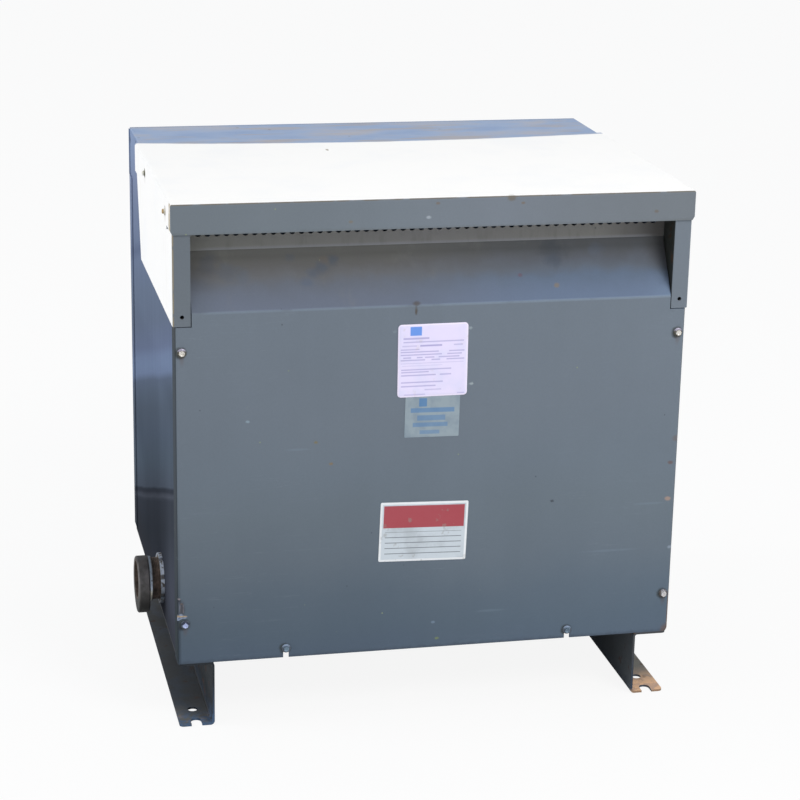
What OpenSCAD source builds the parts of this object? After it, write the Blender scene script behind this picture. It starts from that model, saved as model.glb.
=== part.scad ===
// Ventilated dry-type distribution transformer in a folded sheet-steel enclosure
// with an outdoor weather hood. Millimetres, +X right, +Y to the back, +Z up.
// The front is at -Y. The origin is at the bottom centre of the whole part.

/* [Node] */
// Which piece to draw

/* [Enclosure] */
// Width over the two side panels
body_w = 707; // [600:1:820]
// Depth from the front of the hood lip to the rear cover's face
body_d = 566; // [520:1:640]
// Overall height, floor to the top of the hood
total_h = 745; // [700:1:820]
// Thickness of the enclosure sheet
sheet_t = 2; // [1.6:0.1:2.4]
// Width of the corner posts, seen from the front
post_w = 19.5; // [17:0.5:30]
// Depth of the recess under the hood, and of each corner post
recess_d = 46; // [40:1:60]
// Rise of the raked part of the front cover
rake_h = 74; // [60:1:85]
// Depth of the cover's side returns
return_d = 30; // [20:1:45]
// Radius of the covers' lower corners
corner_r = 8; // [4:0.5:14]
// Outside radius of the folds in the sheet
bend_r = 3.5; // [2.6:0.1:5]
// Distance of the two bottom screw notches from the middle
notch_x = 204; // [160:1:240]
// Width of a screw notch
notch_w = 8; // [6:0.5:10]
// Height of a screw notch's centre above the cover's lower edge
notch_h = 12; // [8:0.5:16]
// Upright leg of the angles across the bottom
angle_h = 30; // [24:1:40]
// Height of those angles' lower edge above the cover's lower edge
angle_up = 7; // [5:0.5:8]
// Flat leg of those angles, and of the flange along each side
angle_d = 40; // [30:1:50]
// Gap round pieces that are only screwed together
seat_gap = 0.3; // [0.1:0.05:0.5]
// Gap left where the front cover is cut round the hood's flanges
cut_gap = 1.2; // [0.5:0.1:2]

/* [Vents] */
// Height of a vent header
header_h = 70; // [68:0.5:90]
// Number of slots in each vent header
slot_n = 51; // [31:2:51]
// Distance between slots
slot_pitch = 12.7; // [12.2:0.1:12.8]
// Width of a slot
slot_w = 8.5; // [6:0.1:8.8]
// Length of a slot, over its round ends
slot_len = 42; // [30:1:44]
// Solid strip left below the slots
slot_rise = 18.5; // [14:0.5:22]

/* [Hood] */
// Depth of the weather hood from front to back
hood_d = 430; // [400:1:500]
// Height of the hood's front and side lip
lip_h = 41.5; // [30:0.5:50]
// Length of the hood skirts below the top
skirt_h = 166; // [155:1:175]
// How far the skirt's rear edge rakes forward on the way down
skirt_rake = 44; // [30:1:80]
// How far the skirts stand outside the cover's side returns
skirt_out = 2.5; // [0.5:0.1:4]
// Distance from the lip's rear end to the skirt's rear edge
skirt_back = 1; // [0.5:0.5:8]
// Screw hole at the foot of each skirt flange
leg_hole_d = 5.5; // [5:0.5:9]
// Height of that hole above the flange's lower end
leg_hole_up = 13; // [9:0.5:20]
// Distance of that hole inside the side panel's outer face
leg_hole_in = 8; // [7:0.5:9]

/* [Feet] */
// Height of the foot rails
foot_h = 95; // [80:1:110]
// Width of the foot rail flanges
foot_w = 46; // [42:1:56]
// Thickness of the foot rails
foot_t = 3; // [2.5:0.1:4]
// Outside radius of the rails' folds
foot_r = 6; // [4:0.5:8]
// Round floor bolt hole
bolt_d = 14; // [11:0.5:18]
// Distance of that hole from the end of the rail
bolt_in = 50; // [40:1:80]
// Width of the open slot at each rail end
end_slot_w = 15; // [12:0.5:18]
// Depth of the open slot at each rail end
end_slot_l = 19; // [14:0.5:24]

/* [Conduit] */
// Outside diameter of the conduit nipple
nipple_od = 60.3; // [48:0.1:66]
// Inside diameter of the conduit nipple
nipple_id = 52.5; // [40:0.1:54]
// How far the fitting stands out from the side panel
conduit_out = 37; // [30:1:60]
// Distance of the conduit's axis behind the hood lip
conduit_y = 206; // [170:1:300]
// Height of the conduit's axis above the enclosure's lower edge
conduit_up = 49.5; // [44:0.5:200]
// Outside diameter of the locknuts
locknut_od = 74; // [70:0.5:84]
// Outside diameter of the connector body
connector_od = 83; // [79:0.5:90]
// How far the connector body's middle hangs below the conduit's axis
connector_drop = 8; // [0:0.5:8]
// Outside diameter of the connector's collar
collar_od = 66; // [63:0.5:76]
// Thickness of a locknut and of the connector's collar
locknut_t = 5; // [3:0.5:6]
// Distance from the side panel to the connector's collar
collar_out = 16; // [8:0.5:18]
// How far the nipple reaches inside the panel
nipple_in = 14; // [10:0.5:20]

/* [Core and coils] */
// Width of each core limb
limb_w = 80; // [70:1:84]
// Thickness of the lamination stack
stack_t = 110; // [90:1:120]
// Distance between limb centres
limb_pitch = 170; // [166:1:176]
// Height of the core window
window_h = 270; // [240:1:290]
// Height of the yokes
yoke_h = 80; // [66:1:84]
// Width of each coil across the window
coil_w = 164; // [150:1:165]
// Depth of each coil, front to back
coil_d = 200; // [184:1:215]
// Radial build of each winding layer
layer_t = 16; // [12:0.5:16]
// Radius of a coil's outer corners
coil_r = 30; // [20:1:40]
// Distance of the tie rods outside the coils
rod_out = 14; // [10:0.5:24]
// Height of the core clamps
clamp_h = 66; // [50:1:70]
// Thickness of the core clamps
clamp_t = 5; // [4:0.5:6]
// Flange width of the core clamps
clamp_f = 25; // [20:0.5:30]
// Thickness of the tie rods
rod_d = 10; // [8:0.5:14]
// Width of the channels that carry the core
channel_w = 50; // [46:1:60]
// Depth of those channels
channel_h = 40; // [30:1:50]
// Height of the isolation pads
pad_h = 15; // [10:1:24]
// Diameter of the isolation pads
pad_d = 44; // [36:1:48]

/* [Hidden] */
$fn = 48;
EPS = 0.02;

t = sheet_t;
xb = body_w / 2;              // outer face of a side panel
xs = xb + t;                  // outer face of the cover's side returns
xk = xs + skirt_out;          // outer face of the skirts
xl = xk + t + seat_gap;       // outer face of the hood lip
y_lip = -body_d / 2;          // front face of the hood lip
y_face = y_lip + t;           // front face of the cover and the skirt flanges
y_rear = body_d / 2;          // rear face of the rear cover
y_in0 = y_face + t;           // front of the side panels
y_in1 = y_rear - t;           // back of the side panels
z_lid = total_h - t;          // top of the enclosure's own top panel
z_top = z_lid - t;            // underside of that panel
z_leg = total_h - skirt_h;    // bottom of the skirts
z_head = z_top - header_h;    // lower edge of the vent headers
z_crease = z_head - rake_h;   // bend between the cover's face and its rake
x_post = xb - post_w;         // inner face of the corner posts
y_head = y_face + recess_d;   // front face of the front vent header

x_web = xb - foot_w;          // outer face of a foot rail's web
y_core = 10;                  // centre of the core, front to back
z_core = foot_h + pad_h + 10; // bottom of the core
z_win = z_core + yoke_h;
y_clamp = stack_t / 2;
rod_x = limb_pitch + coil_w / 2 + rod_out;
clamp_l = 2 * (rod_x + rod_out);
coil_h = window_h - 8;
bore_gap = 2 * seat_gap;      // over the limb, across
duct_t = (coil_w - limb_w - bore_gap - 4 * layer_t) / 2;

cy = y_lip + conduit_y;
cz = foot_h + conduit_up;
x_far = -(xb + conduit_out);
shift_x = -(x_far + xl) / 2;  // puts the origin at the centre of the whole part

module placed() { translate([shift_x, 0, 0]) children(); }
module box(x0, x1, y0, y1, z0, z1) {
  translate([x0, y0, z0]) cube([x1 - x0, y1 - y0, z1 - z0]);
}
// a box given for the right-hand side, put on side s (-1 left, 1 right)
module side_box(s, x0, x1, y0, y1, z0, z1) {
  if (s > 0) box(x0, x1, y0, y1, z0, z1);
  else box(-x1, -x0, y0, y1, z0, z1);
}

// Flat outline with corners rounded by r at the upper (top) and lower (low) side.
module plate(x0, x1, y0, y1, top = 0, low = 0) {
  square_y(x0, x1, y0 + low, y1 - top);
  for (c = [[y1, top, -1], [y0, low, 1]]) if (c[1] > 0) {
    for (x = [x0 + c[1], x1 - c[1]]) translate([x, c[0] + c[2] * c[1]]) circle(r = c[1]);
    square_y(x0 + c[1], x1 - c[1], min(c[0], c[0] + c[2] * c[1]), max(c[0], c[0] + c[2] * c[1]));
  }
}
module square_y(x0, x1, y0, y1) { translate([x0, y0]) square([x1 - x0, y1 - y0]); }
// Section of a folded channel, open to +X: w wide, h high, th thick, folds of radius r.
module channel_section(w, h, th, r) {
  difference() {
    union() {
      square_y(r, w, 0, h);
      square_y(0, r + EPS, r, h - r);
      for (y = [r, h - r]) translate([r, y]) circle(r = r);
    }
    square_y(r, w + 1, th, h - th);
    square_y(th, r + EPS, r, h - r);
    for (y = [r, h - r]) translate([r, y]) circle(r = r - th);
  }
}
// Turn a section so that its x lies along +Y and its y along +Z, run along +X.
module along_x(x0, x1) { translate([x0, 0, 0]) rotate([90, 0, 90]) linear_extrude(height = x1 - x0) children(); }
// Turn a section so that its x lies along +X and its y along +Z, run along +Y.
module along_y(y0, y1) { translate([0, y1, 0]) rotate([90, 0, 0]) linear_extrude(height = y1 - y0) children(); }
module along_z(z0, z1) { translate([0, 0, z0]) linear_extrude(height = z1 - z0) children(); }

// ---- feet and base frame -------------------------------------------------
// A channel, open outward: the lower flange takes the floor bolts.
module foot_rail(s) {
  y0 = y_face;
  y1 = y_rear - t;
  xh = x_web + foot_w / 2 - 1;
  slot_y = end_slot_l - end_slot_w / 2;
  mirror([s < 0 ? 1 : 0, 0, 0]) difference() {
    along_y(y0, y1) translate([x_web - foot_t, 0]) channel_section(foot_w + foot_t, foot_h, foot_t, foot_r);
    for (e = [-1, 1]) {
      ye = e < 0 ? y0 : y1;
      translate([xh, ye - e * bolt_in, -1]) cylinder(d = bolt_d, h = foot_t + 2);
      translate([xh, ye - e * slot_y, -1]) cylinder(d = end_slot_w, h = foot_t + 2);
      box(xh - end_slot_w / 2, xh + end_slot_w / 2, min(ye + e, ye - e * slot_y), max(ye + e, ye - e * slot_y), -1, foot_t + 1);
      // rounded outer corner of each flange
      for (z = [-1, foot_h - foot_t - 1]) translate([xb - foot_r, ye - e * foot_r, z]) difference() {
        box(0, foot_r + 1, e < 0 ? -foot_r - 1 : 0, e < 0 ? 0 : foot_r + 1, 0, foot_t + 2);
        translate([0, 0, -1]) cylinder(r = foot_r, h = foot_t + 4);
      }
    }
  }
}
module foot_rail_left() color("#3a4048") placed() foot_rail(-1);
module foot_rail_right() color("#3a4048") placed() foot_rail(1);

// Angle between the posts that the cover screws into, with its flat leg on top.
module base_angle() {
  x = x_post - seat_gap;
  z0 = foot_h + angle_up;
  along_x(-x, x) difference() {
    translate([y_in0, z0 - angle_h]) channel_section(angle_d, 2 * angle_h, foot_t, foot_r);
    square_y(y_in0 - 1, y_in0 + angle_d + 1, z0 - angle_h - 1, z0);
  }
}
module base_angle_front() color("#5a6570") placed() base_angle();
module base_angle_rear() color("#5a6570") placed()
  translate([0, y_in0 + y_in1, 0]) mirror([0, 1, 0]) base_angle();

// Channel between the foot rails, open downward, under one row of core clamps.
module core_channel(yc) {
  x = x_web - foot_t;
  along_x(-x, x) translate([yc + channel_w / 2, foot_h]) rotate([0, 0, -90]) mirror([0, 1])
    translate([0, 0]) channel_section(channel_h, channel_w, foot_t, foot_r);
}
y_pad0 = y_core - y_clamp - clamp_t - clamp_f / 2;
y_pad1 = y_core + y_clamp + clamp_t + clamp_f / 2;
module core_channel_front() color("#4a525c") placed() core_channel(y_pad0);
module core_channel_rear() color("#4a525c") placed() core_channel(y_pad1);

// ---- enclosure -----------------------------------------------------------
// Flat side sheet with a flange along the bottom that rests on the foot rail.
module side_panel(s) {
  y0 = y_in0 + recess_d;
  side_box(s, xb - t, xb, y_in0, y_in1, foot_h, z_top);
  side_box(s, xb - angle_d, xb - t + EPS, y0, -y0, foot_h, foot_h + t);
}
// Folded corner post: cheek, flange behind the cover's edge, leg on the side sheet.
module post(s, e) {
  d = recess_d - t;
  yf = e < 0 ? y_in0 : y_in1;
  difference() {
    mirror([s < 0 ? 1 : 0, 0, 0]) translate([0, yf, 0]) mirror([0, e > 0 ? 1 : 0, 0])
      along_z(foot_h, z_top) difference() {
        translate([xb - t, 0]) rotate([0, 0, 90]) channel_section(d, xb - t - x_post, t, bend_r);
        square_y(xb - 2 * t - 1, xb, post_w - bend_r, d + 1);
      }
    if (e < 0) leg_hole(s);
  }
}
// the hole in a skirt's front flange goes on through the post behind it
module leg_hole(s) {
  translate([s * (xb - leg_hole_in), y_face - 1, z_leg + leg_hole_up]) rotate([-90, 0, 0])
    cylinder(d = leg_hole_d, h = 2 * t + 2);
}
module side_panel_left() color("#3c4654") placed() difference() {
  side_panel(-1);
  at_conduit(-xb - 1) cylinder(d = nipple_od + 2 * seat_gap, h = t + 2);
}
module side_panel_right() color("#3c4654") placed() side_panel(1);
module post_front_left() color("#4b545f") placed() post(-1, -1);
module post_front_right() color("#4b545f") placed() post(1, -1);
module post_rear_left() color("#4b545f") placed() post(-1, 1);
module post_rear_right() color("#4b545f") placed() post(1, 1);

// Folded pan with rounded lower corners: face and side returns. The left one can be square.
module cover_pan(z1, square_left = false) {
  intersection() {
    along_z(foot_h, z1) difference() {
      plan(xs, bend_r, 0, return_d);
      plan(xb, bend_r - t, t, return_d + 1);
    }
    along_y(y_face - 1, y_face + return_d + 1) {
      plate(-xs, xs, foot_h, z1, 0, corner_r);
      if (square_left) square_y(-xs, 0, foot_h, z1);
    }
  }
}
module plan(x, r, y0, y1) { translate([0, y_face]) plate(-x, x, y0, y1, 0, r); }
// Face, raked top between the posts, cut round the skirt flanges, with two open
// notches for the bottom screws.
module front_cover() color("#76808c") placed() {
  xr = x_post - cut_gap;
  zn = z_leg - cut_gap;
  difference() {
    union() {
      cover_pan(zn, square_left = true);
      cover_rake(xr, zn - EPS);
    }
    for (s = [-1, 1]) {
      box(s * notch_x - notch_w / 2, s * notch_x + notch_w / 2, y_face - 1, y_in0 + 1, foot_h - 1, foot_h + notch_h);
      translate([s * notch_x, y_face - 1, foot_h + notch_h]) rotate([-90, 0, 0]) cylinder(d = notch_w, h = t + 2);
    }
  }
}
// Upright strip between the posts, a rounded fold, then the rake back to the vent header.
module cover_rake(xr, z0) {
  along_x(-xr, xr) difference() {
    behind_fold(bend_r, z0, 0);
    behind_fold(bend_r - t, z0 - 1, 1);
    square_y(y_head, y_head + rake_h, z_crease, z_head + rake_h);
    square_y(y_face, y_head + rake_h, z_head, z_head + rake_h);
  }
}
// All that lies behind a fold line of radius r round the crease, up and down from it.
module behind_fold(r, z0, more) {
  a = atan(recess_d / rake_h);
  zc = z_crease - bend_r * tan(a / 2);
  translate([y_face + bend_r, zc]) {
    circle(r = r);
    square_y(-r, bend_r + more, z0 - zc, 0);
    rotate(-a) square_y(-r, bend_r + more, 0, recess_d + rake_h + more);
  }
}
module rear_cover() color("#6c7682") placed()
  mirror([0, 1, 0]) translate([0, -y_rear - y_face, 0]) cover_pan(z_head - seat_gap);

// Punched strip of upright slots below the top.
module vent_header(x, y0) {
  z0 = z_head + slot_rise;
  r = slot_w / 2;
  difference() {
    box(-x, x, y0, y0 + t, z_head, z_top);
    for (i = [0 : slot_n - 1]) translate([(i - (slot_n - 1) / 2) * slot_pitch, y0 - 1, 0]) {
      translate([-r, 0, z0 + r]) cube([2 * r, t + 2, slot_len - 2 * r]);
      for (z = [z0 + r, z0 + slot_len - r])
        translate([0, 0, z]) rotate([-90, 0, 0]) cylinder(r = r, h = t + 2);
    }
  }
}
module vent_header_front() color("#565c66") placed() vent_header(x_post - seat_gap, y_head);
module vent_header_rear() color("#565c66") placed() vent_header(xs, y_rear - t);
module top_panel() color("#8fa0bd") placed() box(-xb, xb, y_in0, y_rear, z_top, z_lid);

// ---- weather hood ---------------------------------------------------------
// Folded pan, upside down: top, front lip and side lips, with rounded folds.
module lid_block(i) {
  z0 = total_h - lip_h - (i > 0 ? 1 : 0);
  y1 = y_lip + hood_d + (i > 0 ? 1 : 0);
  intersection() {
    along_y(y_lip - 1, y1) plate(-xl + i, xl - i, z0, total_h - i, bend_r - i);
    along_x(-xl - 1, xl + 1) difference() {
      square_y(y_lip + i, y1, z0, total_h - i);
      difference() {
        square_y(y_lip + i - 1, y_lip + bend_r, total_h - bend_r, total_h - i + 1);
        translate([y_lip + bend_r, total_h - bend_r]) circle(r = bend_r - i);
      }
    }
  }
}
module hood_lid() color("#e8ecf0") placed() difference() {
  lid_block(0);
  lid_block(t);
  for (s = [-1, 1]) translate([s * xl, y_lip - 1, total_h - lip_h]) rotate([-90, 0, 0])
    linear_extrude(height = lip_h) polygon([[-s * 3, 1], [s, 1], [s, -5], [0, -5], [-s * 3, 0]]);
}
// Side sheet with its front flange; the rear edge rakes forward below the lip.
module hood_skirt(s) {
  y1 = y_lip + hood_d - skirt_back;
  zl = total_h - lip_h;
  w = 2 * (xk - x_post);
  difference() {
    intersection() {
      mirror([s < 0 ? 1 : 0, 0, 0]) along_z(z_leg, z_lid) difference() {
        translate([xk, y_face]) rotate([0, 0, 90]) channel_section(hood_d, w, t, bend_r);
        square_y(xk - w - 1, x_post, y_face - 1, y1 + hood_d);
      }
      along_x(-xk - 1, xk + 1)
        polygon([[y_face, z_leg], [y1 - skirt_rake, z_leg], [y1, zl], [y1, z_lid], [y_face, z_lid]]);
    }
    leg_hole(s);
  }
}
module hood_skirt_left() color("#dfe4ea") placed() hood_skirt(-1);
module hood_skirt_right() color("#dfe4ea") placed() hood_skirt(1);

// ---- conduit entry ---------------------------------------------------------
module at_conduit(x) { translate([x, cy, cz]) rotate([0, 90, 0]) children(); }
module ring(od, id, h) { difference() { cylinder(d = od, h = h); translate([0, 0, -1]) cylinder(d = id, h = h + 2); } }
module locknut() difference() {
  ring(locknut_od, nipple_od + 0.2, locknut_t);
  for (i = [0 : 7]) rotate([0, 0, i * 45 + 22.5])
    translate([locknut_od / 2 - 3, -3.5, -1]) cube([6, 7, locknut_t + 2]);
}
module conduit_nipple() color("#7a5238") placed()
  at_conduit(x_far) ring(nipple_od, nipple_id, conduit_out + nipple_in);
module conduit_locknut_outer() color("#9aa3ad") placed() at_conduit(-xb - locknut_t) locknut();
module conduit_locknut_inner() color("#9aa3ad") placed() at_conduit(-xb + t) locknut();
// Cast body, set lower than its bore, with bevelled rims and a thin collar behind it.
module conduit_connector() color("#55575a") placed() at_conduit(x_far) difference() {
  r = connector_od / 2;
  union() {
    translate([connector_drop, 0, 0]) rotate_extrude()
      polygon([[0, 0], [r - rim, 0], [r, rim], [r, barrel_l - rim], [r - rim, barrel_l], [0, barrel_l]]);
    cylinder(d = collar_od, h = barrel_l + locknut_t);
  }
  translate([0, 0, -1]) cylinder(d = nipple_od + 0.2, h = conduit_out);
}
rim = 1.5;
barrel_l = conduit_out - collar_out - locknut_t;

// ---- core and coils ---------------------------------------------------------
module core() color("#3f4247") placed() {
  w = 2 * limb_pitch + limb_w;
  difference() {
    box(-w / 2, w / 2, y_core - stack_t / 2, y_core + stack_t / 2, z_core, z_core + 2 * yoke_h + window_h);
    for (s = [-1, 1]) translate([s * limb_pitch / 2, y_core, z_win + window_h / 2])
      cube([limb_pitch - limb_w, stack_t + 2, window_h], center = true);
  }
}
module core_clamp(e, z0) {
  w = clamp_t + clamp_f;
  difference() {
    translate([0, y_core + e * y_clamp, z0]) mirror([0, e < 0 ? 1 : 0, 0])
      along_x(-clamp_l / 2, clamp_l / 2) channel_section(w, clamp_h, clamp_t, clamp_t + 2);
    for (s = [-1, 1]) translate([s * rod_x, y_core + e * (y_clamp + clamp_t + clamp_f / 2), z0 - 1])
      cylinder(d = rod_d + 0.4, h = clamp_h + 2);
  }
}
z_cl0 = foot_h + pad_h;
z_cl1 = z_win + window_h + 8;
module core_clamp_lower_front() color("#6a6f76") placed() core_clamp(-1, z_cl0);
module core_clamp_lower_rear() color("#6a6f76") placed() core_clamp(1, z_cl0);
module core_clamp_upper_front() color("#6a6f76") placed() core_clamp(-1, z_cl1);
module core_clamp_upper_rear() color("#6a6f76") placed() core_clamp(1, z_cl1);

// Upright block with round corners.
module pillar(w, d, h, r) {
  box(-w / 2 + r, w / 2 - r, -d / 2, d / 2, 0, h);
  box(-w / 2, w / 2, -d / 2 + r, d / 2 - r, 0, h);
  for (x = [-1, 1], y = [-1, 1]) translate([x * (w / 2 - r), y * (d / 2 - r), 0]) cylinder(r = r, h = h);
}
module sleeve(w, d, r, th, h) {
  difference() {
    pillar(w, d, h, r);
    translate([0, 0, -1]) pillar(w - 2 * th, d - 2 * th, h + 2, max(r - th, 2));
  }
}
// Two winding layers with an air duct held open by sticks.
module coil(i) {
  wi = limb_w + bore_gap + 2 * layer_t;
  di = coil_d - 2 * layer_t - 2 * duct_t;
  translate([i * limb_pitch, y_core, z_win + 4]) {
    sleeve(coil_w, coil_d, coil_r, layer_t, coil_h);
    difference() {
      pillar(wi, di, coil_h, 12);
      box(-(limb_w + bore_gap) / 2, (limb_w + bore_gap) / 2,
          -(stack_t + bore_gap) / 2, (stack_t + bore_gap) / 2, -1, coil_h + 1);
    }
    for (x = [-1, 1], y = [-1, 0, 1])
      translate([x * (wi + duct_t) / 2, y * 38, coil_h / 2]) cube([duct_t + 2, 6, coil_h], center = true);
    for (x = [-1, 1], y = [-1, 1])
      translate([x * 26, y * (di + duct_t) / 2, coil_h / 2]) cube([6, duct_t + 2, coil_h], center = true);
  }
}
module coil_left() color("#a8793f") placed() coil(-1);
module coil_middle() color("#a8793f") placed() coil(0);
module coil_right() color("#a8793f") placed() coil(1);
// Insulating blocks that hold the coils between the clamps, front and rear.
module coil_blocks() color("#c9b48a") placed()
  for (i = [-1 : 1], e = [-1, 1]) translate([i * limb_pitch, y_core + e * (y_clamp + clamp_t + clamp_f / 2), 0]) {
    box(-35, 35, -10, 10, z_cl0 + clamp_h, z_win + 4);
    box(-35, 35, -10, 10, z_win + 4 + coil_h, z_cl1);
  }
module tie_rods() color("#8d949c") placed()
  for (s = [-1, 1], e = [-1, 1])
    translate([s * rod_x, y_core + e * (y_clamp + clamp_t + clamp_f / 2), z_cl0 + clamp_t])
      cylinder(d = rod_d, h = z_cl1 + clamp_h - z_cl0 - 2 * clamp_t);
module isolation_pads() color("#2a2a2c") placed()
  for (s = [-1, 1], y = [y_pad0, y_pad1])
    translate([s * (limb_pitch + 30), y, foot_h]) cylinder(d = pad_d, h = pad_h);

foot_rail_left();
foot_rail_right();
base_angle_front();
base_angle_rear();
core_channel_front();
core_channel_rear();
side_panel_left();
side_panel_right();
post_front_left();
post_front_right();
post_rear_left();
post_rear_right();
front_cover();
rear_cover();
vent_header_front();
vent_header_rear();
top_panel();
hood_lid();
hood_skirt_left();
hood_skirt_right();
conduit_nipple();
conduit_locknut_outer();
conduit_locknut_inner();
conduit_connector();
core();
core_clamp_lower_front();
core_clamp_lower_rear();
core_clamp_upper_front();
core_clamp_upper_rear();
coil_left();
coil_middle();
coil_right();
coil_blocks();
tie_rods();
isolation_pads();
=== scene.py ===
# %% [markdown]
# # An outdoor power transformer, dressed in Blender
# The real object is a steel box on two foot rails, with three coils on a core inside, a
# slotted vent under a folded weather hood, and a conduit fitting low on its left side.
# The solids come ready made from the CAD source, in metres, with the front at -Y. This
# lesson gives them paint, dust and rust, and adds the small things that CAD leaves out.

# %% Load the solids
import math
import random

import bmesh
import bpy
from mathutils import Euler, Matrix, Vector


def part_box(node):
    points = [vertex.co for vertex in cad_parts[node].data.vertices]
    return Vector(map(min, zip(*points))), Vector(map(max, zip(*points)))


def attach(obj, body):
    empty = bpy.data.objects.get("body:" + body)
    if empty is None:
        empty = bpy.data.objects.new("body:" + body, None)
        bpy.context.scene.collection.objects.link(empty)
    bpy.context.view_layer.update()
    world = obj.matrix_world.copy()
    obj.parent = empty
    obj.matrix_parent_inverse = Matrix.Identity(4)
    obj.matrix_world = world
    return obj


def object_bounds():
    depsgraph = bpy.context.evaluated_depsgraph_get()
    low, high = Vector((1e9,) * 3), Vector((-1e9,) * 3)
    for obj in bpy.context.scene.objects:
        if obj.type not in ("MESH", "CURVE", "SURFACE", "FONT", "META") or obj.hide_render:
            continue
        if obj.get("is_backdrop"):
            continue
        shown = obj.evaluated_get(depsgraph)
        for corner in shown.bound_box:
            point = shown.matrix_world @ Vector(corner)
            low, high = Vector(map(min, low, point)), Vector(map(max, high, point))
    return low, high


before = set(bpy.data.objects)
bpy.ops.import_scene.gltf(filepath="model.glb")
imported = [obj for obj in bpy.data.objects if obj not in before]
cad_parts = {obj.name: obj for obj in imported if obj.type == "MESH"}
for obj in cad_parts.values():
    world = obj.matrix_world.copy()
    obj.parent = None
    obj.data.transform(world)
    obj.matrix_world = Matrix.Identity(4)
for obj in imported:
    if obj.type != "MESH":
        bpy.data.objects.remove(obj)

cad_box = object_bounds()
MM = 0.001
print("solids:", len(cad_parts), "box in mm:", [round(v / MM) for v in cad_box[1] - cad_box[0]])

# %% [markdown]
# ## Where things are
# Every place in this lesson is worked out from the boxes of the solids, so the screws and
# stains stay on the sheet if the source changes. The cover's front face, the enclosure's
# middle and the crease, where the cover starts to lean back, are used most.

# %% Measure the solids
RAKE_RISE = 74 * MM
cover_low, cover_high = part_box("front_cover")
rear_low, rear_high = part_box("rear_cover")
lid_low, lid_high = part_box("hood_lid")
header_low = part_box("vent_header_front")[0]
middle = (cover_low.x + cover_high.x) / 2
face, back, top = cover_low.y, rear_high.y, lid_high.z
crease = header_low.z - RAKE_RISE
print("middle %.4f  face %.4f  top %.4f  crease %.4f" % (middle, face, top, crease))


def on_front(across, down):
    """A point of the front face: millimetres right of the middle and below the top."""
    return Vector((middle + across * MM, face, top - down * MM))


# %% [markdown]
# ## Shader maths as Python
# A finish is a tree of nodes. Wiring it by hand is slow to read, so one small class wraps a
# node's output and lets plain arithmetic add the Math nodes. Vectors go through Vector Math,
# and colours through Mix, because a Math node would turn a colour grey.

# %% Wrap a node's output
class Wire:
    """One output of a shader node. Arithmetic on it adds the nodes that work it out."""

    def __init__(self, tree, socket):
        self.tree, self.socket = tree, socket

    def _work(self, operation, first, second):
        vectors = any(isinstance(v, Wire) and v.socket.type == "VECTOR" for v in (first, second))
        kind = "ShaderNodeVectorMath" if vectors else "ShaderNodeMath"
        return self.tree.node(kind, {"operation": operation}, {0: first, 1: second})

    def __add__(self, other):
        return self._work("ADD", self, other)

    def __radd__(self, other):
        return self._work("ADD", other, self)

    def __sub__(self, other):
        return self._work("SUBTRACT", self, other)

    def __rsub__(self, other):
        return self._work("SUBTRACT", other, self)

    def __mul__(self, other):
        return self._work("MULTIPLY", self, other)

    def __rmul__(self, other):
        return self._work("MULTIPLY", other, self)

    def __neg__(self):
        return self._work("MULTIPLY", -1.0, self)

    def __truediv__(self, other):
        return self._work("DIVIDE", self, other)

    def __pow__(self, other):
        return self._work("POWER", self, other)

    def __abs__(self):
        return self._work("ABSOLUTE", self, 0.0)


print("arithmetic on a wire:", [n for n in vars(Wire) if n.startswith("__")][3:])


# %% [markdown]
# ## Colours
# A colour is written as in a paint tool, six letters and digits such as 70787f. Blender
# works with the light that a colour gives back, which rises faster than those numbers, so
# each code is turned into light values before it is used.

# %% Read a paint code
def paint(code):
    """The light values, red, green and blue, of a paint code."""
    values = [int(code[i : i + 2], 16) / 255 for i in (0, 2, 4)]
    return tuple(v / 12.92 if v <= 0.04045 else ((v + 0.055) / 1.055) ** 2.4 for v in values)


print("mid grey enamel is", [round(v, 3) for v in paint("70787f")])


# %% [markdown]
# ## A tree of nodes
# Paint, floor and sky are all trees, so one class adds nodes to any of them. A node takes its
# settings first, then the values or wires of its sockets.

# %% Add nodes to a tree
class Tree:
    """The node tree of a material or a world, written as expressions."""

    def __init__(self, owner):
        owner.use_nodes = True
        self.nodes, self.links = owner.node_tree.nodes, owner.node_tree.links
        self.nodes.clear()

    def node(self, kind, settings=None, inputs=None, out=0):
        """Adds a node: its settings or a ramp's stops first, then what feeds its sockets."""
        made = self.nodes.new(kind)
        for name, value in (settings or {}).items():
            if name == "stops":
                self.colour_stops(made.color_ramp.elements, value)
            else:
                setattr(made, name, value)
        for key, value in (inputs or {}).items():
            self.feed(made.inputs[key], value)
        return Wire(self, made.outputs[out]) if made.outputs else made

    def colour_stops(self, elements, stops):
        """Writes (value, paint code) stops on a ramp."""
        while len(elements) < len(stops):
            elements.new(0.5)
        for element, (at, code) in zip(elements, stops):
            element.position = at
            element.color = (*paint(code), 1.0)

    def feed(self, socket, value):
        """Joins a wire to a socket, or writes a paint code, light values or a number on it."""
        if isinstance(value, Wire):
            self.links.new(value.socket, socket)
        elif socket.type == "RGBA":
            socket.default_value = (*(paint(value) if isinstance(value, str) else value), 1.0)
        elif socket.type == "VECTOR" and not hasattr(value, "__len__"):
            socket.default_value = (value,) * 3
        else:
            socket.default_value = value

    def parts(self, vector):
        """The x, y and z of a vector."""
        split = self.node("ShaderNodeSeparateXYZ", inputs={0: vector}).socket.node
        return [Wire(self, s) for s in split.outputs]

    def larger(self, first, second):
        """The larger of two values."""
        return self.node("ShaderNodeMath", {"operation": "MAXIMUM"}, {0: first, 1: second})


print("tree helpers:", [n for n in vars(Tree) if not n.startswith("_")])


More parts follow.
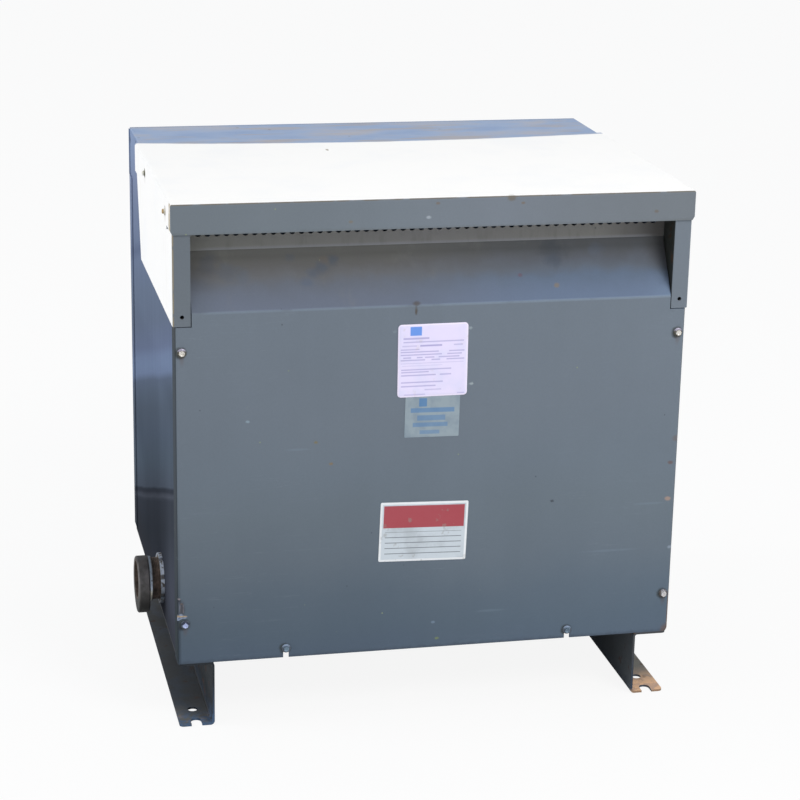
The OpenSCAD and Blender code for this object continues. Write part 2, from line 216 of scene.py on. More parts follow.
# %% [markdown]
# ## A finish
# A finish is a material with the few recipes that all of them share: the place on the object
# in metres, the way a face looks, cloudy noise, a soft step between two values, a mix of two
# colours and a dab of paint at a place. Every recipe ends with a coat, which wires the colour,
# the roughness and small hills to the shader and prints how many nodes the finish took.
# Because places are in metres, a stain is put at its real place and a scratch has its real
# width. In the recipes below, f is the finish.

# %% Make a finish
class Finish(Tree):
    """A material whose tree is written as expressions."""

    def __init__(self, name, roughness=0.5, metallic=0.0, gloss=0.5):
        self.material = bpy.data.materials.new(name)
        super().__init__(self.material)
        shader = self.node("ShaderNodeBsdfPrincipled", inputs={"Specular IOR Level": gloss})
        self.shader = shader.socket.node
        self.set(Roughness=roughness, Metallic=metallic)
        self.node("ShaderNodeOutputMaterial", inputs={0: shader})
        self.place = self.node("ShaderNodeTexCoord", out="Object")
        self.x, self.y, self.z = self.parts(self.place)

    def set(self, **wires):
        """Joins wires, or writes constants, on the shader's own sockets."""
        for name, value in wires.items():
            self.feed(self.shader.inputs[name.replace("_", " ")], value)

    def facing(self):
        """Which way the face looks, as x, y and z."""
        return self.parts(self.node("ShaderNodeNewGeometry", out="Normal"))

    def fade(self, value, start, end):
        """0 before start, 1 after end, and a soft turn between them."""
        return self.node(
            "ShaderNodeMapRange", {"interpolation_type": "SMOOTHSTEP"},
            {0: value, 1: start, 2: end, 3: 0.0, 4: 1.0},
        )

    def noise(self, size, stretch=(1, 1, 1), detail=3.0, rough=0.55, shift=0.0):
        """Cloudy noise round 0.5, whose clouds are about size metres across."""
        at = self.place * Vector(stretch) + Vector((shift, shift, shift))
        return self.node(
            "ShaderNodeTexNoise", {"noise_dimensions": "3D"},
            {"Vector": at, "Scale": 1 / size, "Detail": detail, "Roughness": rough},
        )

    def patches(self, size, start, end, **more):
        """Cloudy patches: 0 where the noise is below start, 1 where it is above end."""
        return self.fade(self.noise(size, **more), start, end)

    def stray(self, size, by, **more):
        """A cloudy offset that strays round 0, for an edge that wanders."""
        return (self.noise(size, **more) - 0.5) * by

    def cells(self, size, stretch=(1, 1, 1)):
        """Distance to the nearest of many scattered points, in parts of size."""
        return self.node(
            "ShaderNodeTexVoronoi", {"feature": "F1"},
            {"Vector": self.place * Vector(stretch), "Scale": 1 / size}, out="Distance",
        )

    def layers(self, way, scale, waver):
        """Even waves across one direction, X, Y or Z, that waver a little."""
        return self.node(
            "ShaderNodeTexWave", {"bands_direction": way},
            {"Vector": self.place, "Scale": scale, "Distortion": waver}, out=1,
        )

    def mix(self, first, second, mask):
        """The first colour where mask is 0, the second where it is 1."""
        return self.node(
            "ShaderNodeMix", {"data_type": "RGBA", "clamp_factor": True},
            {"Factor": mask, 6: first, 7: second}, out=2,
        )

    def scale(self, colour, amount):
        """The colour made lighter or darker by amount."""
        grey = self.node("ShaderNodeCombineXYZ", inputs={0: amount, 1: amount, 2: amount})
        return self.node(
            "ShaderNodeMix", {"data_type": "RGBA", "blend_type": "MULTIPLY"},
            {"Factor": 1.0, 6: colour, 7: grey}, out=2,
        )

    def ramp(self, value, stops):
        """A colour for each value, from (value, paint code) stops between 0 and 1."""
        return self.node("ShaderNodeValToRGB", {"stops": stops}, {0: value})

    def spot(self, place, radius, soft, ragged=0.4, size=0.006, squeeze=(1, 1, 1)):
        """1 at a place and 0 away from it, with a ragged edge."""
        away = (self.place - Vector(place)) * Vector(squeeze)
        length = self.node("ShaderNodeVectorMath", {"operation": "LENGTH"}, {0: away}, out="Value")
        edge = length + self.stray(size, 2 * ragged * radius)
        return 1 - self.fade(edge, radius * (1 - soft), radius * (1 + soft))

    def dab(self, colour, code, strength, place, radius, soft=0.5, **edge):
        """The colour with a spot of paint on it. edge is what spot takes after soft."""
        return self.mix(colour, code, self.spot(place, radius, soft, **edge) * strength)

    def bump(self, height, strength=0.3, depth=0.0005):
        """The face's normal after small hills of this height."""
        return self.node("ShaderNodeBump", inputs={"Height": height, "Strength": strength, "Distance": depth})

    def coat(self, colour, rough, hills, strength, depth, **more):
        """The last step of a finish: colour, roughness and small hills, wired to the shader."""
        self.set(Base_Color=colour, Roughness=rough, Normal=self.bump(hills, strength, depth), **more)
        print(self.material.name, "has", len(self.nodes), "nodes")
        return self.material


print("finish helpers:", [n for n in vars(Finish) if not n.startswith("_")])


# %% [markdown]
# ## Where the fasteners sit
# The same few places are needed twice: for the screws themselves and for the rust and dirt
# that gather round them. So they are worked out first. The covers have two screws up each
# side and one in each notch of the lower edge; the hood has two in each side lip.

# %% Places of the screws
side_screws = [on_front(-346.5, 202), on_front(346, 201), on_front(-344.9, 591), on_front(346, 591)]
notch_screws = [on_front(-204, 636.5), on_front(204, 637.5)]
front_screws = side_screws + notch_screws
rear_screws = [Vector((2 * middle - p.x, back, p.z)) for p in front_screws]
lid_screws = [
    Vector((x, lid_low.y + behind * MM, top - down * MM))
    for x in (lid_low.x, lid_high.x) for behind, down in ((56, 21), (299, 19))
]
print(len(front_screws) + len(rear_screws) + len(lid_screws), "screws on the outside")


# %% [markdown]
# ## Wear that all sheets share
# The box is sprayed with grey enamel over folded sheet. Outdoors it chalks in soft clouds and
# upright streaks, fine scratches cross it, pollen and grit leave specks, and rust starts
# round the screws. Two functions add this to any colour, so all sheets age alike.

# %% Wear and rust
RUST = "5f4230"
RUST_LIGHT = "9a7a5c"
GRIME = "33352f"


def worn(f, colour, marks=True):
    """Clouds, streaks and grain, and with marks also specks and hair scratches."""
    clouds = f.noise(0.16, detail=5)
    streaks = f.noise(0.05, stretch=(1, 1, 0.08), detail=4)
    colour = f.scale(colour, 0.90 + 0.12 * clouds + 0.08 * streaks)
    colour = f.scale(colour, 0.96 + 0.08 * f.noise(0.0025, detail=2))
    if marks:
        speck = 1 - f.fade(f.cells(0.026), 0.025, 0.06)
        some = f.patches(0.05, 0.52, 0.62, shift=3.0)
        colour = f.mix(colour, "8f9a78", speck * some * 0.75)
        dark = 1 - f.fade(f.cells(0.041, stretch=(1, 1, 0.9)), 0.016, 0.036)
        colour = f.mix(colour, "4a5058", dark * 0.7)
        lines = f.noise(0.25, stretch=(0.5, 1.0, 16.0), detail=5, shift=1.7)
        hair = 1 - f.fade(abs(lines - 0.5), 0.0015, 0.004)
        colour = f.mix(colour, "97a3ad", hair * f.fade(clouds, 0.5, 0.62) * 0.08)
    return colour


def rust_rings(f, colour, places, size):
    """A dark ring, and a faint brown run below it, at each screw."""
    for place in places:
        colour = f.dab(colour, GRIME, 0.7, place - Vector((0.0015, 0, 0)), size, 0.3, ragged=0.3)
        below = place - Vector((0, 0, size * 1.1))
        colour = f.dab(colour, RUST, 0.22, below, size * 0.6, 0.6, squeeze=(1.6, 1, 0.6))
    return colour


print("rust goes round", len(front_screws) + len(lid_screws), "screws in front and on the hood")


# %% [markdown]
# ## What the side sheets reflect
# The sides have a glossy film that shows pale sky above, a band brighter than the rest, and
# dark ground below. A mirror finish would fill the whole sheet with studio white from the
# side, so the reflection is in the paint: a ramp over the height, which leans with the depth
# so that its bands lie level to someone who stands in front.

# %% Sky and ground in the film
SKY_BAND = (
    (0.10, "363942"), (0.19, "30343b"), (0.237, "33373f"), (0.2416, "41454e"), (0.245, "41454e"),
    (0.2483, "30343c"), (0.2537, "2f333b"), (0.2577, "434a55"), (0.30, "48525e"), (0.34, "4c5664"),
    (0.38, "505a68"), (0.405, "566171"), (0.4225, "5b6679"), (0.4325, "6d7b96"), (0.445, "6f7e99"),
    (0.458, "6e7c97"), (0.471, "66718a"), (0.51, "636e82"), (0.56, "667286"), (0.612, "6a768e"),
    (0.627, "606b84"), (0.642, "6b778f"), (0.73, "7d88a3"), (0.81, "8798b6"),
)


def side_band(f):
    """Pale sky above and dark ground below, as they lie in the film of the side sheets."""
    wander = f.stray(0.3, 0.012, stretch=(1, 1, 0.5))
    lean = 0.302 + 0.044 * (1 - f.fade(f.z, 0.25, 0.43))
    colour = f.ramp(f.z + lean * f.y - 0.045 * f.y * f.y + wander, SKY_BAND)
    forward = f.fade(-f.y, 0.1, 0.2) * (1 - f.fade(f.z, 0.2, 0.45)) * 0.6
    nearer = f.fade(-f.y, 0.05, 0.09) * (1 - f.fade(f.z, 0.42, 0.47)) * 0.12
    behind = f.fade(f.y, 0.1, 0.2) * (1 - f.fade(f.z, 0.22, 0.3)) * 0.22
    upper = f.fade(f.z, 0.46, 0.5) * (1 - f.fade(f.z, 0.6, 0.64)) * 0.07
    return f.scale(colour, 1 + forward + nearer + behind + upper)


print("the film has", len(SKY_BAND), "colours between the floor and the top")


# %% [markdown]
# ## The leaning part of the cover
# Above the crease the front cover leans back under the hood. There it is dusty brown at the
# top and blue below, wiped in a few places, darker at both ends with the painted shade of the
# posts, and lighter just under the header with painted light against the shade there.
# Two ramps over the height, one for each half, are mixed across the width.

# %% Colours of the leaning part
RAKE_LEFT = ((0.0, "6a7282"), (0.34, "676d78"), (0.57, "67696d"), (0.8, "616161"), (1.0, "636360"))
RAKE_RIGHT = ((0.0, "697890"), (0.34, "627084"), (0.57, "606874"), (0.8, "5a5e66"), (1.0, "555759"))
# Millimetres right of the middle and above the crease, radius, colour, strength.
WIPES = (
    (-137, 58, 0.006, "475364", 0.45), (-152, 49, 0.007, "4b5769", 0.45), (-167, 42, 0.006, "4f5d72", 0.4),
    (-173, 33, 0.006, "56647a", 0.4), (-148, 58, 0.005, "6a6056", 0.35), (-306, 57, 0.011, "4d5360", 0.35),
    (-283, 48, 0.009, "535f70", 0.3), (-262, 42, 0.008, "5a6779", 0.3), (-195, 63, 0.005, "505a69", 0.3),
    (172, 60, 0.013, "43484e", 0.5), (170, 48, 0.009, "4e5663", 0.4), (232, 60, 0.008, "5c6779", 0.25),
    (121, 32, 0.0024, "6b5560", 0.7), (171, 18, 0.0026, "85796a", 0.7),
)


def rake_colour(f):
    """Dusty brown under the header, blue towards the crease, wiped in places, painted shade at its ends,
    painted light under the header.
    """
    deep = f.fade(f.z + f.stray(0.03, 0.02), crease, header_low.z)
    halves = f.fade(f.x, middle - 0.1, middle + 0.2)
    colour = f.mix(f.ramp(deep, RAKE_LEFT), f.ramp(deep, RAKE_RIGHT), halves)
    smudge = f.patches(0.035, 0.55, 0.75, stretch=(1, 0.6, 0.6), detail=6)
    colour = f.mix(colour, "85857f", smudge * (1 - f.fade(f.x, middle + 0.15, middle + 0.2)) * 0.2)
    for across, up, radius, code, strength in WIPES:
        place = on_front(across, 148 - up) + Vector((0, up * 0.62 * MM, 0))
        wiped = {"ragged": 0.9, "size": 0.014, "squeeze": (0.8, 0.5, 1)}
        colour = f.dab(colour, code, strength, place, radius, 0.6, **wiped)
    # Painted shade of the posts at both ends, darker higher up and darkest in the far right corner, while the
    # lower ends turn bluer.
    left_end = 1 - f.fade(f.x, middle - 0.333, middle - 0.285)
    right_end = f.fade(f.x, middle + 0.295, middle + 0.333)
    high_up = f.fade(deep, 0.15, 0.5)
    low_down = (1 - f.fade(deep, 0.0, 0.25)) * 0.5
    colour = f.mix(colour, "625f5c", right_end * high_up * 0.3)
    colour = f.mix(f.mix(colour, "69727f", low_down * left_end), "7487a0", low_down * right_end)
    darker = left_end * (0.1 + 0.2 * high_up - 0.14 * f.fade(deep, 0.75, 1.0)) + right_end * high_up * 0.2
    corner = f.fade(f.x, middle + 0.316, middle + 0.334) * f.fade(deep, 0.05, 0.2)
    colour = f.scale(colour, 1 - darker - corner * 0.25)
    # Painted light: a lighter band just under the header, against the shade that falls there.
    painted_light_under_header = f.fade(f.z, header_low.z - 0.011, header_low.z - 0.001)
    return f.scale(colour, 1 + painted_light_under_header * 0.42)


print("wiped places on the leaning part:", len(WIPES))


# %% [markdown]
# ## Damage on the front cover
# A brown run starts at the crease above the nameplate. Beside the lower left screw something
# hard once tore the sheet, and the lower right corner has lost its paint. Chips and flecks
# are dabs at their own places, with their own colours.

# %% Runs, chips and scratches
# Each row starts with millimetres right of the middle and below the top.
RUNS = (
    (-27.3, 146, 0.005, (1, 0.3, 1.9), 0.6), (-28, 154, 0.006, (3.6, 1, 0.9), 0.45),
    (-28, 157, 0.0032, (1.9, 1, 0.8), 0.6),
)
DENTS = ((-353.5, 556), (-343, 590), (-352, 596))
CHIPS = (
    (-353, 553, 0.0016, "8c868c"), (-351, 577, 0.0025, "8d9cb4"), (-340, 562, 0.0014, "5c6873"),
    (345, 446, 0.0035, "a58d80"), (346, 392, 0.003, "6b5a58"), (353, 356, 0.005, "6e6a6c"),
    (352, 520, 0.0025, "8d98a6"),
)
FLECKS = (
    (48, 183, "98a3a9"), (52, 262, "a9b4b8"), (-258, 302, "8ea0ac"), (-164, 336, "7d7350"),
    (-143, 368, "857253"), (174, 440, "3d4148"), (12, 637, "7c8a58"), (6, 612, "76879a"),
    (-57, 184, "7c878f"),
)
SCRATCHES = ((262, 520, 0.035), (-190, 345, 0.014), (318, 452, 0.02), (90, 600, 0.02))
SCRATCH_WIDTH = 0.0016


def cover_damage(f, colour):
    """The run on the crease, the torn place and the chipped edges of the front cover."""
    for across, down, radius, squeeze, strength in RUNS:
        place = on_front(across, down)
        colour = f.dab(colour, "544a3e", strength, place, radius, size=0.003, squeeze=squeeze)
    colour = f.dab(colour, "454348", 0.7, on_front(-349.5, 569), 0.0065, size=0.004, squeeze=(1.6, 1, 0.6))
    for dent in DENTS:
        colour = f.dab(colour, "31353c", 0.6, on_front(*dent), 0.0035, size=0.003)
    for across, down, radius, code in CHIPS:
        place = on_front(across, down)
        colour = f.dab(colour, code, 0.8, place, radius, 0.45, size=0.003, squeeze=(0.8, 0.4, 1.2))
    for across, down, code in FLECKS:
        place = on_front(across, down)
        colour = f.dab(colour, code, 0.75, place, 0.0021, ragged=0.8, size=0.002, squeeze=(0.8, 1, 1.2))
    for across, down, long in SCRATCHES:
        flat = (SCRATCH_WIDTH / long, 1, 1)
        place = on_front(across, down)
        colour = f.dab(colour, "8497a6", 0.16, place, SCRATCH_WIDTH, 0.6, ragged=0.7, size=0.02, squeeze=flat)
    edge = f.fade(f.x, cover_high.x - 0.0035, cover_high.x - 0.001) * (1 - f.fade(f.z, 0.14, 0.17))
    edge = edge * (1 - f.fade(f.y + f.stray(0.01, 0.006), face + 0.003, face + 0.008))
    rusty = f.patches(0.012, 0.35, 0.5, detail=5)
    colour = f.mix(colour, "6f5546", edge * rusty * 0.8)
    corner = Vector((cover_high.x, face, cover_low.z))
    return f.dab(colour, "6a5850", 0.7, corner, 0.011, 0.4, size=0.007)


print("damaged places:", len(RUNS) + len(DENTS) + len(CHIPS) + len(FLECKS) + len(SCRATCHES))


# %% [markdown]
# ## The two covers
# The front cover is the face that is looked at most. Its colours follow the height, bluer low
# down and warmer higher up. Its side returns face away from the light and have their own
# ramp of painted shade, and a painted highlight runs along the crease. The rear cover has the
# same enamel without the damage, with the side sheets' painted reflection on its returns.

# %% Cover enamel
# Height above the floor in metres, and the colour there.
HEIGHTS = (
    (0.10, "566474"), (0.136, "586674"), (0.18, "5c6976"), (0.24, "65707b"),
    (0.30, "69747e"), (0.36, "6c7782"), (0.45, "6f7984"), (0.56, "707a85"),
)
RETURNS = (
    (0.13, "2f373c"), (0.17, "31383e"), (0.23, "3a4147"), (0.29, "3c4248"),
    (0.37, "40474e"), (0.45, "434a52"), (0.53, "434a50"), (0.57, "454a4e"),
)


def cover_enamel(name, screws, damaged):
    f = Finish(name, roughness=0.5, gloss=0.12)
    colour = f.ramp(f.z + f.stray(0.22, 0.09), HEIGHTS)
    across = f.fade(f.x, cover_low.x, cover_high.x)
    low = 1 - f.fade(f.z, 0.14, 0.4)
    colour = f.scale(colour, 0.95 + 0.045 * across + low * (0.15 * across - 0.07))
    look_x, look_y, look_z = f.facing()
    leaning = f.fade(look_z, 0.2, 0.45)
    colour = f.mix(colour, rake_colour(f), leaning)
    shade = (1 - f.fade(f.x, cover_low.x + 0.002, cover_low.x + 0.006)) * (1 - f.fade(f.z, 0.12, 0.36))
    colour = f.scale(colour, 1 - 0.4 * shade)
    if damaged:
        # Painted shade: the side returns, which face away from the light, take their own darker ramp.
        turned = f.fade(abs(look_x), 0.5, 0.75)
        colour = f.mix(colour, f.ramp(f.z, RETURNS), turned)
        # Painted highlight along the crease, in patches.
        fold = 1 - f.fade(abs(f.z - (crease - 0.0005)), 0.0008, 0.0026)
        colour = f.mix(colour, "8797a9", fold * f.patches(0.05, 0.3, 0.5) * (0.25 + 0.2 * across))
    else:
        # Painted reflection: the rear cover's returns take the side sheets' sky and ground.
        turned = 1 - f.fade(look_y, 0.25, 0.6)
        colour = f.mix(colour, side_band(f), turned)
    colour = rust_rings(f, worn(f, colour), screws, size=0.0078)
    low_edge = 1 - f.fade(f.z + f.stray(0.01, 0.008), cover_low.z, cover_low.z + 0.006)
    colour = f.mix(colour, "3f4753", low_edge * 0.5)
    if damaged:
        colour = cover_damage(f, colour)
    rough = 0.46 + 0.18 * f.noise(0.04, detail=4) + leaning * 0.2 + turned * 0.5
    waves = f.noise(0.35, detail=1) * 6.0 + f.noise(0.0016, detail=2) * 0.35
    return f.coat(colour, rough, waves, 0.25, 0.0006)


front_enamel = cover_enamel("front_enamel", front_screws, True)
rear_enamel = cover_enamel("rear_enamel", rear_screws, False)


# %% [markdown]
# ## Side sheets
# The two sides are smoother and darker than the covers. Under the reflection of sky and
# ground lie fine upright streaks, and the sheet turns darker just above the foot rail.

# %% Side enamel
side_left_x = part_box("side_panel_left")[0].x
SIDE_MARKS = ((0.279, 0.725, 0.0035), (0.2, 0.735, 0.002))


def side_paint():
    f = Finish("side_enamel", roughness=0.5, gloss=0.0)
    fall = f.noise(0.02, stretch=(1, 1, 0.05), detail=5)
    colour = worn(f, f.scale(side_band(f), 0.92 + 0.16 * fall), marks=False)
    # Darker just above the foot rail.
    low = 1 - f.fade(f.z + f.stray(0.03, 0.06), 0.1, 0.16)
    colour = f.mix(colour, "35363a", low * 0.5)
    for y, z, radius in SIDE_MARKS:
        place = (side_left_x, y, z)
        colour = f.dab(colour, "2c2a2a", 0.9, place, radius, 0.4, size=0.003, squeeze=(0.1, 1, 0.7))
    waves = f.noise(0.28, detail=1) * 5.0 + f.noise(0.0016, detail=2) * 0.3
    return f.coat(colour, 0.42 + 0.2 * f.noise(0.05), waves, 0.25, 0.0006)


side_enamel = side_paint()


# %% [markdown]
# ## The flat top
# Behind the hood the enclosure's own top is painted pale blue, the shade of grey enamel lit by
# the blue sky, under long streaks of tan dust. The same colour is the painted shade on the
# rear of the hood's lid, so it is a function of its own.

# %% Top enamel
# Painted shade: grey enamel lit only by the blue sky looks pale blue.
SKY_SHADE_TOP = ((0.3, "869cc0"), (0.5, "94a7c5"), (0.68, "a9abb6"))


def sky_shade_and_dust(f):
    """Painted shade, pale blue as lit by the sky, under long streaks of tan dust."""
    colour = f.ramp(f.noise(0.12, stretch=(1, 2, 1), detail=5), SKY_SHADE_TOP)
    film = f.patches(0.07, 0.5, 0.66, stretch=(0.6, 2.2, 1), detail=6, shift=5.0)
    return f.mix(colour, "ab9d90", film * 0.5)


def top_paint():
    f = Finish("top_enamel", roughness=0.55, gloss=0.2)
    spots = 1 - f.fade(f.cells(0.03), 0.05, 0.12)
    colour = f.mix(sky_shade_and_dust(f), "746a5d", spots * f.patches(0.06, 0.5, 0.6, shift=2.0) * 0.7)
    edge = f.fade(f.y + f.stray(0.015, 0.006), back - 0.008, back - 0.003)
    colour = f.mix(colour, "6f7f97", edge * 0.6)
    return f.coat(colour, 0.5 + 0.2 * f.noise(0.07), f.noise(0.003), 0.15, 0.0004)


top_enamel = top_paint()


# %% [markdown]
# ## The weather hood
# The hood takes the sun and the rain. Its top and its side sheets are painted near-white, as
# sunlight blown out to white on the grey enamel, while the front lip and the two narrow front
# flanges keep their grey, because they face away from the sun. The change follows the folds,
# so the way a face looks decides it. The undersides and inner faces are dark grey. Lid and
# skirts share the painted sunlight, and each adds its own grey and its own dirt.

# %% Hood paint
LID_GREY = ((0.0, "6e777f"), (0.4, "727b84"), (0.7, "747c86"), (1.0, "71787f"))
SKIRT_GREY = ((0.0, "697179"), (0.2, "6a727a"), (0.8, "6e7780"), (1.0, "707983"))
SKIRT_INNER_FACE = 0.3565
HALF_LID = 0.355
# Millimetres right of the middle and below the top, radius, colour.
LIP_FLECKS = (
    (100, 3.6, 0.004, "6e6658"), (116, 10.7, 0.0018, "77695c"), (-2, 7.9, 0.0018, "77695c"),
    (-14, 26.7, 0.0022, "a9b1ba"), (305, 27.5, 0.0022, "6d6459"), (-120, 30, 0.002, "7b7264"),
)


def sunlit_white_and_grey(f, grey, front, inside, look_x):
    """Painted sunlight, near-white with a few rusty seeps; grey where front is 1 and dark where inside is 1.
    """
    # Painted sunlight: near-white where the sun fell on the grey enamel.
    white = f.mix("fffefc", "f8f9fa", f.patches(0.09, 0.45, 0.75, detail=5) * 0.5)
    seep = f.patches(0.012, 0.62, 0.74, stretch=(1, 1, 0.12), detail=5)
    white = f.mix(white, "dcd8cf", seep * abs(look_x) * 0.3)
    return f.mix(f.mix(white, worn(f, grey), front), "666c72", inside)


def lid_shade_and_dirt(f, colour, front, patchy, looks):
    """The painted shade on the rear, the dirt on the fold, the lip's ends and edge, and a few flecks."""
    look_x, look_y, look_z = looks
    # Painted shade: behind a curved line, the top takes the sky-lit blue of the top panel.
    aside = (f.x - middle) / HALF_LID
    painted_shade_rear = f.fade(f.y - 0.027 * aside * aside + f.stray(0.05, 0.006), 0.111, 0.116)
    colour = f.mix(colour, sky_shade_and_dust(f), painted_shade_rear * f.fade(look_z, 0.05, 0.3))
    fold = f.fade(look_z, 0.25, 0.5) * f.fade(-look_y, 0.5, 0.75)
    colour = f.mix(colour, "6b6253", fold * patchy * 0.75)
    lip_edge = 1 - f.fade(f.z + f.stray(0.02, 0.004), lid_low.z + 0.001, lid_low.z + 0.004)
    colour = f.mix(colour, "5d615f", front * lip_edge * 0.2)
    # The lip's ends are tan, partly rust and partly painted sunlight.
    depth = f.y - lid_low.y + f.stray(0.014, 0.012, detail=4)
    end = f.fade(abs(look_x), 0.6, 0.9) * f.fade(depth, 0.0, 0.004) * (1 - f.fade(depth, 0.011, 0.019))
    colour = f.mix(colour, "ab9a75", end * (0.55 + 0.45 * patchy) * 0.85)
    for across, down, radius, code in LIP_FLECKS:
        place = on_front(across, down) - Vector((0, 0.003, 0))
        colour = f.dab(colour, code, 0.7, place, radius, size=0.003, squeeze=(0.7, 0.4, 1.1))
    tick = (middle - 0.088, 0.06, top)
    colour = f.dab(colour, "8b7f6c", 0.8, tick, 0.0024, size=0.004, squeeze=(1.2, 0.4, 1))
    return rust_rings(f, colour, lid_screws, size=0.007)


def hood_paint(name, is_lid):
    f = Finish(name, roughness=0.6, gloss=0.2)
    looks = look_x, look_y, look_z = f.facing()
    along = f.fade(f.x, lid_low.x, lid_high.x)
    patchy = f.patches(0.02, 0.36, 0.5, detail=5)
    if is_lid:
        front = f.fade(-look_y, 0.45, 0.8)
        inside = f.fade(-look_z, 0.3, 0.6) * (1 - front) * (1 - f.fade(abs(look_x), 0.6, 0.9))
        colour = sunlit_white_and_grey(f, f.ramp(along, LID_GREY), front, inside, look_x)
        colour = lid_shade_and_dirt(f, colour, front, patchy, looks)
    else:
        front = f.fade(-look_y, 0.12, 0.4)
        inner = 1 - f.fade(abs(f.x - middle), SKIRT_INNER_FACE - 0.0002, SKIRT_INNER_FACE + 0.0002)
        colour = sunlit_white_and_grey(f, f.ramp(along, SKIRT_GREY), front, inner * (1 - front), look_x)
        # The front bend at the left end is tan, partly rust and partly painted sunlight.
        edge = f.fade(abs(look_x), 0.3, 0.6) * f.fade(-look_y, 0.3, 0.6)
        colour = f.mix(colour, "a3936f", edge * (1 - along) * patchy * 0.6)
    waves = f.noise(0.3, detail=1) * 5.0 + f.noise(0.002, detail=2) * 0.4
    return f.coat(colour, 0.55 + 0.15 * f.noise(0.05), waves, 0.2, 0.0006)


hood_enamel = hood_paint("hood_enamel", True)
skirt_enamel = hood_paint("skirt_enamel", False)


# %% [markdown]
# ## The vent headers
# A header is a sheet with a row of slots under the hood. It is a warm grey, darker at the
# right end with the painted shade of the right post, dirt hangs from the lower end of the
# slots, and its lower edge is lighter where it laps over the cover. Its ends, and the rear
# header's back, have the side sheets' painted reflection.

# %% Vent enamel
# Warm grey, with its last stops darker as the painted shade of the right post.
VENT_GREY_AND_POST_SHADE = ((0.0, "82827d"), (0.5, "878685"), (0.83, "8a8985"), (0.9, "7a7977"), (0.95, "5e5c5a"))


def vent_paint():
    f = Finish("vent_enamel", roughness=0.6, gloss=0.2)
    colour = f.ramp((f.x - cover_low.x) / (cover_high.x - cover_low.x), VENT_GREY_AND_POST_SHADE)
    drip = f.patches(0.01, 0.5, 0.7, stretch=(1, 1, 0.25), detail=4)
    below = 1 - f.fade(f.z, header_low.z + 0.004, header_low.z + 0.024)
    colour = f.mix(colour, "5d5b55", drip * below * 0.18)
    low_edge = 1 - f.fade(f.z, header_low.z + 0.002, header_low.z + 0.005)
    inner = 1 - f.fade(abs(f.x - middle), 0.3, 0.33)
    colour = f.mix(colour, "92959e", low_edge * inner * 0.4)
    look_x, look_y, _ = f.facing()
    # Painted reflection of sky and ground, as on the side sheets, on the ends and on the rear header's back.
    film = side_band(f)
    colour = f.mix(colour, film, f.fade(abs(look_x), 0.5, 0.8))
    colour = f.mix(colour, film, f.fade(f.y, 0.0, 0.01) * (1 - f.fade(look_y, 0.25, 0.6)))
    rear_end = (rear_low.x, 0.238, 0.734)
    colour = f.dab(colour, "3c424c", 0.8, rear_end, 0.0042, 0.4, size=0.003, squeeze=(0.1, 0.25, 1))
    return f.coat(worn(f, colour), 0.6 + 0.1 * drip, f.noise(0.002), 0.2, 0.0004)


vent_enamel = vent_paint()


# %% [markdown]
# ## Posts, rails and angles
# The frame is darker than the sheets, with brown dust on every face that looks up and rust
# in patches, and painted shade on its upright faces. The two foot rails stand out in front of
# the box, where the weather reaches them, so each has its own dust on top and its own three
# colours on its cut front end, and each is painted darker towards the rear and in its bend.

# %% Frame enamel
rail_low, rail_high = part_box("foot_rail_left")


def rail_front(f, colour, looks, tip):
    """A foot rail, painted darker towards the rear, in the box's shade, and in its bend, with the colours of
    its cut end.
    """
    look_x, look_y, _ = looks
    # Painted shade: darker towards the rear, under the box, and in the bend; lighter at the front.
    bend = f.fade(abs(look_x), 0.08, 0.2) * (1 - f.fade(abs(look_x), 0.8, 0.97))
    near = (1 - f.fade(f.y, rail_low.y + 0.01, rail_low.y + 0.1)) * (1 - 0.5 * abs(look_x))
    colour = f.scale(colour, 1 + 0.4 * near - 0.4 * f.fade(f.y, -0.02, 0.12) - 0.6 * bend)
    end = f.fade(-look_y, 0.5, 0.8) * (1 - f.fade(f.y, rail_low.y + 0.003, rail_low.y + 0.005))
    low, web, high = tip
    return f.mix(colour, f.ramp(f.z, ((0.003, low), (0.007, web), (0.03, web), (0.065, high))), end)


def frame_paint(name, code, dusty, dust=("b79a78", "6e665f"), cheek_shade=None, cheek_from=0.6,
                even=0.0, tip=None, gloss=0.25):
    """Dark enamel, dusty on top and rusty low down. The cheek colour is the painted shade of its upright
    faces.
    """
    f = Finish(name, roughness=0.55, gloss=gloss)
    looks = f.facing()
    look_x, look_z = looks[0], looks[2]
    colour = f.scale(worn(f, code, marks=False), 0.9 + 0.2 * f.noise(0.03))
    if cheek_shade:
        # Painted shade on the upright faces.
        colour = f.mix(colour, cheek_shade, f.fade(abs(look_x), cheek_from, cheek_from + 0.3))
    up = f.fade(look_z, 0.5, 0.8) * f.fade(f.noise(0.035, detail=6) + even, 0.36, 0.52)
    film = f.mix(dust[0], "92807a", f.patches(0.012, 0.46, 0.64, detail=5, shift=3.0) * 0.6)
    film = f.mix(film, dust[1], f.fade(f.y, rail_low.y + 0.02, rail_low.y + 0.09))
    colour = f.mix(colour, film, up * dusty)
    if tip:
        colour = rail_front(f, colour, looks, tip)
    rust = f.patches(0.02, 0.6, 0.7, detail=7, shift=4.0)
    colour = f.mix(colour, RUST, rust * 0.5)
    floor_dirt = 1 - f.fade(f.z + f.stray(0.015, 0.02), 0.004, 0.03)
    colour = f.mix(colour, "4c5a70", floor_dirt * (1 - up) * 0.2)
    toe = (1 - f.fade(f.y, rail_low.y + 0.01, rail_low.y + 0.05)) * (1 - f.fade(f.x, middle - 0.1, middle))
    toe = toe * (1 - f.fade(f.z, 0.01, 0.03)) * f.patches(0.009, 0.42, 0.56, detail=5, shift=6.0)
    colour = f.mix(colour, "4a6280", toe * 0.75)
    return f.coat(colour, 0.5 + 0.3 * rust, f.noise(0.003, detail=4), 0.3, 0.0005)


